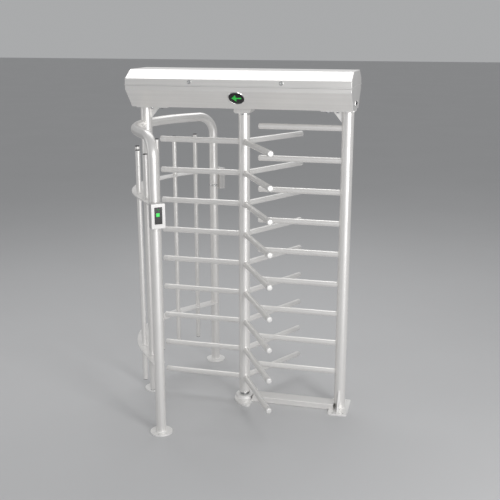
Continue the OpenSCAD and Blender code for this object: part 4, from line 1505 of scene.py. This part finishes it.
@dataclass
class Pedestal:
    """The half-round floor plate and collar that carry the rotor, and the bearing block above it."""

    shop: Shop
    thickness: float = 14.0
    centre_x: float = 76.0
    radius: float = 145.0
    corner: float = 18.0
    anchors: Point2 = (27.0, 85.0)
    anchor: float = 6.5
    level: Point2 = (52.0, 52.0)
    level_hole: float = 4.5
    collar: float = 62.0
    seat: float = 31.0
    collar_chamfer: float = 4.0
    block_edge: float = 10.0

    def build(self) -> None:
        """Build the plate, the collar, the block and both bearings."""
        self.plate()
        self.collar_ring()
        self.block()
        refined("lower_bearing", 0.4, MACHINED, "frame")
        refined("upper_bearing", 0.4, MACHINED, "frame")

    def plate(self) -> None:
        """The half-round plate with its anchor and levelling holes."""
        high = span("pedestal_plate")[1]
        corner_x = high.x - self.corner
        corner_y = math.sqrt((self.radius - self.corner) ** 2 - (self.centre_x - corner_x) ** 2)
        lean = math.degrees(math.atan2(corner_y, corner_x - self.centre_x))
        outline = arc((corner_x, corner_y), self.corner, 0, lean, 8)
        outline += arc((self.centre_x, 0), self.radius, lean, 360 - lean, 64)[1:]
        outline += arc((corner_x, -corner_y), self.corner, -lean, 0, 8)[1:]
        holes = [circle((self.anchors[0], s * self.anchors[1]), self.anchor, 28) for s in (-1, 1)]
        holes += [circle((self.level[0], s * self.level[1]), self.level_hole, 24) for s in (-1, 1)]
        stock = Stock()
        stock.plate(outline, self.thickness, 1.5, 0.6, holes)
        stock.piece("pedestal_foot", PLATE, "frame", "pedestal_plate")

    def collar_ring(self) -> None:
        """The turned collar round the lower bearing, and its weld to the plate."""
        low, high = span("pedestal_collar")
        edge, rim = self.collar_chamfer, self.collar
        ring = [(self.seat, low.z), (rim, low.z), (rim, high.z - edge), (rim - edge, high.z)]
        ring += [(self.seat + 1, high.z), (self.seat, high.z - 1)]
        stock = Stock()
        stock.lathe(fillet(ring, 0.8), 64, loop=True)
        stock.piece("collar", PLATE, "frame", "pedestal_collar")
        bead = [Vector((a, b, low.z + 0.6)) for a, b in arc((0, 0), rim + 0.8, 0, 360, 72)]
        hand_over(self.shop.weld.make("collar_weld", [bead], 2.6, PLATE), PLATE, "frame")

    def block(self) -> None:
        """The bearing block under the head, with its two lower edges cut back."""
        low, high = span("bearing_block")
        cut, half, tall = self.block_edge, high.x, high.z - low.z
        section = [(-half + cut, 0), (half - cut, 0), (half, cut), (half, tall), (-half, tall), (-half, cut)]
        stock = Stock()
        stock.plate(fillet(section, 2), high.y - low.y, 1.2, at=along_y(high.y, low.z))
        stock.piece("bearing_block_shell", UPRIGHT, "frame", "bearing_block")


# ---- Rotor and comb -------------------------------------------------------------------------------


@dataclass
class Bar:
    """A round bar that stands out along +X from an upright tube, with a smoothed weld and a domed tip."""

    radius: float = 19.0
    upright: float = 38.0
    reach: float = 583.0
    weld: float = 4.5
    dome: float = 8.0
    dome_rings: int = 7
    sides: int = 40
    root: float = 16.0

    def around(self, radius: float, x: float | None, lift: float = 0.0) -> list[Vector]:
        """One ring of the bar.

        Args:
            radius: Radius of the ring.
            x: Its place along the bar, or None where it lies on the upright tube.
            lift: Distance from the tube's surface where it lies on it.

        Returns:
            The ring's points, counter-clockwise about +X.
        """
        made = []
        for y, z in circle((0, 0), radius, self.sides):
            along = math.sqrt(self.upright**2 - y * y) + lift if x is None else x
            made.append(Vector((along, y, z)))
        return made

    def tip(self, radius: float) -> list[list[Vector]]:
        """The rings of a domed end, down to its pole.

        Args:
            radius: Radius where the dome starts.

        Returns:
            The rings, outwards.
        """
        made, dome = [], self.dome
        for k in range(self.dome_rings):
            a = math.pi / 2 * k / self.dome_rings
            x = self.reach - dome + dome * math.sin(a)
            made.append(self.around(radius - dome + dome * math.cos(a), x))
        return [*made, [Vector((self.reach, 0, 0))]]

    def stock(self, at: Matrix) -> Stock:
        """The bar's mesh at height zero.

        Args:
            at: Where the bar goes.

        Returns:
            The stock with the bar in it.
        """
        weld, r = self.weld, self.radius
        rings = [[Vector((self.upright - self.root, 0, 0))], self.around(r + weld, None, -3)]
        for out, lift in ((weld, 0), (0.45 * weld, 0.35), (0.14 * weld, 0.3 * weld), (0, weld)):
            rings.append(self.around(r + out, None, lift))
        rings.append(self.around(r, self.upright + 3 * weld))
        rings.append(self.around(r, self.reach - self.dome - 2))
        rings += self.tip(r)
        made = Stock()
        made.rings(rings, at)
        return made

    def sleeve(self, at: Matrix, length: float = 34.0, proud: float = 0.9) -> Stock:
        """The bright end sleeve that closes a bar.

        Args:
            at: Where the bar goes.
            length: Length of the sleeve.
            proud: How far it stands out of the bar.

        Returns:
            The stock with the sleeve in it.
        """
        r, start = self.radius + proud, self.reach - length
        edge = ((self.radius - 1, start), (r - 0.5, start), (r, start + 0.7))
        rings = [[Vector((start, 0, 0))], *(self.around(*place) for place in edge)]
        made = Stock()
        made.rings(rings + self.tip(r), at)
        return made


@dataclass
class Rotor:
    """The turning column with its three wings of arms."""

    shop: Shop
    radius: float = 38.0
    bores: Point2 = (15.2, 20.2)
    count: int = 9
    lowest: float = 168.0
    pitch: float = 208.5
    band_height: float = 8.0
    band_proud: float = 0.7
    wings: tuple[tuple[str, float], ...] = (("left_wing", 180.0), ("front_wing", 300.0), ("rear_wing", 60.0))

    def build(self) -> None:
        """Build the column, the wings and the turned ends."""
        low, high = span("rotor_column")
        lower, upper = self.bores
        stock = Stock()
        tube = [(lower, low.z), (self.radius, low.z), (self.radius, high.z), (upper, high.z)]
        stock.lathe(fillet(tube, 1.6), 72, loop=True)
        stock.piece("column_tube", TUBE, "rotor", "rotor_column")
        stock = Stock()
        tall, rim = self.band_height, self.radius + self.band_proud
        for base in (low.z + 0.4, high.z - tall - 0.4):
            band = ring_profile(self.radius - 1, rim, base, base + tall)
            stock.lathe(fillet(band, 0.5), 72, loop=True)
        stock.piece("column_end_bands", TRIM, "rotor")
        bar = Bar()
        for node, angle in self.wings:
            at = turned(angle)
            sizes = (self.count, self.lowest, self.pitch)
            arms = self.shop.ladder.make(f"{node}_arms", bar.stock(at), TUBE, *sizes)
            hand_over(arms, TUBE, "rotor", node)
            caps = self.shop.ladder.make(f"{node}_sleeves", bar.sleeve(at), SLEEVE, *sizes)
            hand_over(caps, SLEEVE, "rotor")
        refined("rotor_journals", 0.6, MACHINED, "rotor")


@dataclass
class Comb:
    """The fixed bars that stand out of the right post between the rotor's arms."""

    shop: Shop
    count: int = 9
    lowest: float = 272.25
    pitch: float = 208.5

    def build(self) -> None:
        """Build all the bars as one ladder."""
        low = span("barrier_bars")[0]
        post = middle("right_post").x
        bar = Bar(reach=post - low.x, dome=7.0).stock(moved(post) @ turned(180))
        sizes = (self.count, self.lowest, self.pitch)
        bars = self.shop.ladder.make("comb_bars", bar, TUBE, *sizes)
        hand_over(bars, TUBE, "frame", "barrier_bars")


# ---- Cage -----------------------------------------------------------------------------------------


@dataclass
class Cage:
    """The curved cage: two hoops that turn down into legs, two ring plates, upright bars and feet."""

    shop: Shop
    radius: float = 705.0
    half_arc: float = 37.7
    run: float = 255.0
    tube: float = 31.75
    bend: float = 130.0
    hoop_z: float = 1930.0
    band: float = 80.0
    ease: float = 9.0
    bar: float = 15.75
    bar_wall: float = 2.0
    bar_weld: Place = (3.2, 1.1, 3.4)
    bar_angles: tuple[float, ...] = (-45.0, -30.0, -15.0, 15.0, 30.0, 45.0)
    post: float = 38.0
    foot: float = 72.5
    foot_anchor: float = 56.0
    anchor: float = 6.5
    weld: float = 5.0

    def build(self) -> None:
        """Build the whole cage."""
        for side, label in ((-1, "front"), (1, "rear")):
            self.hoop(side, label)
        for node in ("lower_ring_plate", "upper_ring_plate"):
            self.ring_plate(node)
        self.bars()
        self.feet()

    def wall_point(self, angle: float, radius: float) -> Point2:
        """A point beside the cage wall.

        Args:
            angle: Its angle from -X in degrees, which goes on along the straight run past the curve.
            radius: The wall's radius there.

        Returns:
            The point in plan.
        """
        side = -1 if angle < 0 else 1
        over = abs(angle) - self.half_arc
        lean = math.radians(min(abs(angle), self.half_arc))
        x, y = -radius * math.cos(lean), radius * math.sin(lean)
        if over > 0:
            ahead = radius * math.tan(math.radians(over))
            x, y = x + ahead * math.sin(lean), y + ahead * math.cos(lean)
        return x, side * y

    def hoop(self, side: int, label: str) -> None:
        """One hoop with its leg, bent from a single tube.

        Args:
            side: -1 for the front one and 1 for the rear one.
            label: Which one it is, in its name.
        """
        floor = span(f"{label}_leg")[0].z
        bow = [self.wall_point(a, self.radius) for a in self.steps(24)]
        path = [Vector((x, side * y, self.hoop_z)) for x, y in bow]
        lean = math.radians(self.half_arc)
        way = Vector((math.sin(lean), side * math.cos(lean), 0))
        start = path[-1]
        for k in range(1, 4):
            path.append(start + way * (self.run - self.bend) * k / 3)
        corner = path[-1]
        for k in range(1, 17):
            a = math.pi / 2 * k / 16
            drop = Vector((0, 0, self.bend * (1 - math.cos(a))))
            path.append(corner + way * self.bend * math.sin(a) - drop)
        top = path[-1]
        for k in range(1, 7):
            path.append(Vector((top.x, top.y, top.z + (floor - top.z) * k / 6)))
        stock = Stock()
        stock.sweep(path, self.tube)
        stock.piece(f"{label}_hoop_and_leg", TUBE, "frame", f"{label}_hoop", f"{label}_leg")

    def steps(self, count: int) -> list[float]:
        """Even angles from the post to the end of the curve."""
        return [self.half_arc * k / count for k in range(count + 1)]

    def ring_plate(self, node: str) -> None:
        """One flat plate that follows the wall.

        Args:
            node: The frame node that it stands for.
        """
        low, high = span(node)
        lean = math.radians(self.half_arc)
        sides = {}
        for radius in (self.radius + self.band / 2, self.radius - self.band / 2):
            bow = [self.wall_point(a, radius) for a in self.steps(20)]
            x, y = bow[-1]
            bow.append((x + self.run * math.sin(lean), y + self.run * math.cos(lean)))
            sides[radius] = [(x, -y) for x, y in bow[:0:-1]] + bow
        outer, inner = sides.values()
        stock = Stock()
        stock.plate(self.eased(outer, inner), high.z - low.z, 1.0, at=moved(z=low.z))
        stock.piece(f"{node}_band", BAND, "frame", node)

    def cut_corner(self, corner: Point2, across: Point2, along: Point2) -> list[Point2]:
        """Cut back one corner of a band.

        Args:
            corner: The corner.
            across: The corner at the other side of the band.
            along: The next point on the same side.

        Returns:
            Three points, from the band's end to its side.
        """
        here = Vector(corner)
        one, two = ((Vector(end) - here).normalized() * self.ease for end in (across, along))
        return [tuple(here + one), tuple(here + one * 0.3 + two * 0.3), tuple(here + two)]

    def eased(self, outer: list[Point2], inner: list[Point2]) -> list[Point2]:
        """Join two sides of a band into an outline with its four end corners cut back.

        Args:
            outer: The outer side.
            inner: The inner side, in the same order.

        Returns:
            The outline.
        """
        made = []
        for side, other in ((outer, inner), (inner[::-1], outer[::-1])):
            made += self.cut_corner(side[0], other[0], side[1]) + side[1:-1]
            made += self.cut_corner(side[-1], other[-1], side[-2])[::-1]
        return made

    def bars(self) -> None:
        """The upright bars, open at both ends, with a weld above and below each plate."""
        low, high = span("cage_bars")
        part = Stock()
        r, inner = self.bar, self.bar - self.bar_wall
        part.lathe(fillet(ring_profile(inner, r, low.z, high.z), 0.5, 2), 32, loop=True)
        for node in ("lower_ring_plate", "upper_ring_plate"):
            under, over = span(node)
            part.lathe(weld_ring(r, over.z, self.bar_weld), 32, loop=True)
            part.lathe(weld_ring(r, under.z, self.bar_weld, -1), 32, loop=True)
        spots = []
        for angle in self.bar_angles:
            spots.append(moved(*self.wall_point(angle, self.radius)))
        bars = self.shop.setting.make("cage_uprights", part, spots, TUBE)
        hand_over(bars, TUBE, "frame", "cage_bars")
        plug = Stock()
        cap = [(0, -12), (inner, -12), (inner, 0), (r - 0.4, 0)]
        cap += [(r - 0.4, 2.4), (r - 3.5, 4.4), (0, 4.8)]
        for level, turn in ((high.z, IDENTITY), (low.z, turned(180, "X"))):
            plug.lathe(fillet(cap, 0.6, closed=False), 32, moved(z=level) @ turn)
        plugs = self.shop.setting.make("cage_upright_plugs", plug, spots, PLASTIC)
        hand_over(plugs, PLASTIC, "frame")

    def feet(self) -> None:
        """The three round feet with two anchor holes each, and the welds round their tubes."""
        stock, beads = Stock(), []
        top = span("left_post")[0].z
        sizes = (self.weld, 1.6, self.weld)
        for node, radius in (("left_post", self.post), ("front_leg", self.tube), ("rear_leg", self.tube)):
            cx, cy, _ = middle(node)
            flat = circle((cx, cy), self.foot, 64)
            holes = [circle((cx, cy + s * self.foot_anchor), self.anchor, 28) for s in (-1, 1)]
            stock.plate(flat, top, 1.6, 0.6, holes)
            stock.lathe(weld_ring(radius, top, sizes), 56, moved(cx, cy), loop=True)
            beads.append([Vector((x, y, top + 1.5)) for x, y in arc((cx, cy), radius + 1.7, 0, 360, 60)])
        stock.piece("feet", PLATE, "frame", "foot_discs")
        hand_over(self.shop.weld.make("foot_welds", beads, 2.9, PLATE), PLATE, "frame")


# ---- Card readers ---------------------------------------------------------------------------------


@dataclass
class Reader:
    """A card reader clamped to one leg of the cage: a two-part housing, a dark window and two lamps."""

    side: int
    turn: float = 37.7
    width: float = 90.0
    height: float = 157.0
    back: float = 26.0
    front: float = 74.0
    cover: float = 14.0
    window: Point2 = (48.0, 104.0)
    window_up: float = 4.0
    sunk: float = 3.0
    lamp: float = 22.0
    lamp_at: Point2 = (-2.0, 9.0)
    small_lamp: float = 5.0
    small_lamp_up: float = 41.0
    clamp: Point2 = (31.5, 33.4)
    clamp_half: float = 7.0
    clamp_levels: tuple[float, ...] = (-46.0, 46.0)

    @property
    def label(self) -> str:
        """Which leg this reader is on."""
        return "front" if self.side < 0 else "rear"

    def place(self) -> Matrix:
        """The reader's frame: local +Z points out of its face, local +Y is up, on the leg's axis."""
        leg, level = middle(f"{self.label}_leg"), middle(f"{self.label}_reader_housing").z
        mirror = Matrix.Scale(-1, 4, (0, 1, 0)) if self.side > 0 else IDENTITY
        out = turned(self.turn) @ turned(90, "X")
        return mirror @ moved(leg.x, -abs(leg.y), level) @ out

    def build(self) -> None:
        """Build the housing, the window, the lamps and the clamps."""
        place, label = self.place(), self.label
        size = fillet(rectangle(self.width, self.height), 8, 5)
        opening = fillet(rectangle(*self.window, (0, self.window_up)), 3)
        stock = Stock()
        deep = self.front - self.back - self.cover
        stock.plate(size, deep, 0.9, 2.0, at=place @ moved(z=self.back))
        stock.plate(size, self.cover, 3.2, 0.9, [opening], place @ moved(z=self.front - self.cover))
        stock.piece(f"{label}_reader_case", CASE, "frame", f"{label}_reader_housing")
        stock = Stock()
        glass = fillet(rectangle(self.window[0] + 1, self.window[1] + 1, (0, self.window_up)), 3)
        stock.plate(glass, 9, 0.8, at=place @ moved(z=self.front - self.sunk - 9))
        stock.piece(f"{label}_reader_glass", WINDOW, "frame", f"{label}_reader_window")
        stock, face = Stock(), self.front - self.sunk
        square = fillet(rectangle(self.lamp, self.lamp, self.lamp_at), 2.5)
        stock.plate(square, 2.2, 0.7, at=place @ moved(z=face - 1))
        stock.piece(f"{label}_reader_light", LIT, "frame", f"{label}_reader_lamps")
        stock = Stock()
        r = self.small_lamp
        disc = [(0, -1), (r, -1), (r, 0.8), (r - 1.2, 1.3), (0, 1.5)]
        stock.lathe(disc, 24, place @ moved(y=self.small_lamp_up, z=face))
        stock.piece(f"{label}_reader_idle_light", UNLIT, "frame")
        self.clamps()

    def clamps(self) -> None:
        """The two bands that hold the reader to its leg."""
        leg, level = middle(f"{self.label}_leg"), middle(f"{self.label}_reader_housing").z
        stock = Stock()
        band = ring_profile(*self.clamp, -self.clamp_half, self.clamp_half)
        for step in self.clamp_levels:
            stock.lathe(fillet(band, 0.5), 48, moved(leg.x, leg.y, level + step), loop=True)
        stock.piece(f"{self.label}_reader_clamps", TRIM, "frame")


# ---- Mechanism ------------------------------------------------------------------------------------


@dataclass
class Mechanism:
    """The gear train, the locks and the circuits inside the tray."""

    shop: Shop
    edge: float = 0.5
    plate_inset: float = 16.0

    def build(self) -> None:
        """Finish every inner part, and fix the plate down."""
        parts: tuple[tuple[str, Finish, str], ...] = (
            ("mechanism_plate", MACHINED, "frame"),
            ("rotary_damper", PLASTIC, "frame"),
            ("counter_unit", HOUSING, "frame"),
            ("solenoids", HOUSING, "frame"),
            ("control_board", BOARD, "frame"),
            ("power_supply", SUPPLY, "frame"),
            ("drive_gear", BRASS, "rotor"),
            ("lock_disc", MACHINED, "rotor"),
            ("damper_pinion", BRASS, "damper_gear"),
            ("counter_pinion", BRASS, "counter_gear"),
            ("entry_pawl", MACHINED, "entry_pawl"),
            ("exit_pawl", MACHINED, "exit_pawl"),
            ("entry_plunger", MACHINED, "entry_plunger"),
            ("exit_plunger", MACHINED, "exit_plunger"),
        )
        for node, finish, body in parts:
            refined(node, self.edge, finish, body)
        self.screws()

    def screws(self) -> None:
        """Socket screws in the corners of the mechanism plate."""
        low, high = span("mechanism_plate")
        part = Stock()
        head = [(0, 0), (6.5, 0), (6.5, 4.6), (5.8, 5.4), (3.2, 5.4), (3.2, 2.4), (0, 2.4)]
        part.lathe(head, 24)
        spots = [
            moved(x, y, high.z)
            for x in (low.x + self.plate_inset, high.x - self.plate_inset)
            for y in (low.y + self.plate_inset, high.y - self.plate_inset)
        ]
        hand_over(self.shop.setting.make("plate_screws", part, spots, ZINC), ZINC, "frame")


# ---- Studio ---------------------------------------------------------------------------------------


@dataclass(frozen=True)
class Light:
    """A soft rectangular studio light."""

    name: str
    at: Place
    aim: Place
    size: Point2
    power: float


@dataclass
class Studio:
    """The pale floor, the soft lights and the camera."""

    camera_at: Place = (1.348, -5.240, 2.565)
    camera_turn: Place = (74.80, 0.0, 14.03)
    lens: float = 59.19
    floor_half: float = 60.0
    floor_tone: Colour = (0.58, 0.58, 0.585)
    sky: Colour = (0.4, 0.405, 0.41)
    sky_power: float = 1.0
    lamps: tuple[Light, ...] = (
        Light("key", (3.6, -3.4, 2.2), (0.0, 0.0, 1.1), (1.2, 3.6), 95.0),
        Light("front", (3.4, -7.0, 2.6), (0.0, 0.0, 1.2), (4.4, 3.6), 125.0),
        Light("overhead", (-0.8, 2.3, 5.2), (0.0, 0.2, 2.0), (4.6, 2.6), 85.0),
        Light("fill", (-4.4, -1.2, 2.0), (0.0, 0.0, 1.2), (0.8, 3.0), 14.0),
    )

    def build(self) -> None:
        """Set the stage."""
        self.floor()
        self.surroundings()
        for lamp in self.lamps:
            self.light(lamp)
        self.camera()

    def floor(self) -> None:
        """A wide pale floor at level zero."""
        h = self.floor_half
        mesh = bpy.data.meshes.new("floor")
        mesh.from_pydata([(-h, -h, 0), (h, -h, 0), (h, h, 0), (-h, h, 0)], [], [(0, 1, 2, 3)])
        recipe = Recipe("pale_floor")
        cloud = recipe.noise(recipe.place(Grain.NONE), 0.7, 3)
        recipe.wire(recipe.shades(cloud, self.floor_tone, 0.985, 1.01), "Base Color")
        recipe.fixed(Roughness=0.85, Specular_IOR_Level=0.2)
        mesh.materials.append(recipe.material)
        new_object("floor", mesh)

    def surroundings(self) -> None:
        """An even, soft surround."""
        world = bpy.data.worlds.new("surround")
        world.use_nodes = True
        back = world.node_tree.nodes["Background"]
        back.inputs["Color"].default_value = (*self.sky, 1.0)
        back.inputs["Strength"].default_value = self.sky_power
        bpy.context.scene.world = world
        bpy.context.scene.view_settings.view_transform = "Standard"

    def light(self, lamp: Light) -> None:
        """Hang one light.

        Args:
            lamp: Its place, size and power.
        """
        data = bpy.data.lights.new(lamp.name, "AREA")
        data.shape = "RECTANGLE"
        data.size, data.size_y = lamp.size
        data.energy = lamp.power
        made = bpy.data.objects.new(lamp.name, data)
        made.location = lamp.at
        made.rotation_mode = "QUATERNION"
        made.rotation_quaternion = (Vector(lamp.aim) - Vector(lamp.at)).to_track_quat("-Z", "Y")
        bpy.context.scene.collection.objects.link(made)

    def camera(self) -> None:
        """Stand the camera before the entry side."""
        data = bpy.data.cameras.new("camera")
        data.lens = self.lens
        made = bpy.data.objects.new("camera", data)
        made.location = self.camera_at
        made.rotation_euler = [math.radians(a) for a in self.camera_turn]
        bpy.context.scene.collection.objects.link(made)
        bpy.context.scene.camera = made


# ---- Making ---------------------------------------------------------------------------------------


def main() -> None:
    """Build every sub-assembly in order."""
    logging.basicConfig(level=logging.INFO, format="%(name)s %(message)s")
    Studio().build()
    shop = Shop(Ladder(), Setting(), WeldBead())
    assemblies = (
        Head(shop), Indicator(shop, -1), Indicator(shop, 1), Posts(shop), Pedestal(shop),
        Rotor(shop), Comb(shop), Cage(shop), Reader(-1), Reader(1), Mechanism(shop),
    )
    for assembly in assemblies:
        LOG.info("building %s", type(assembly).__name__)
        assembly.build()


if __name__ == "__main__":
    main()
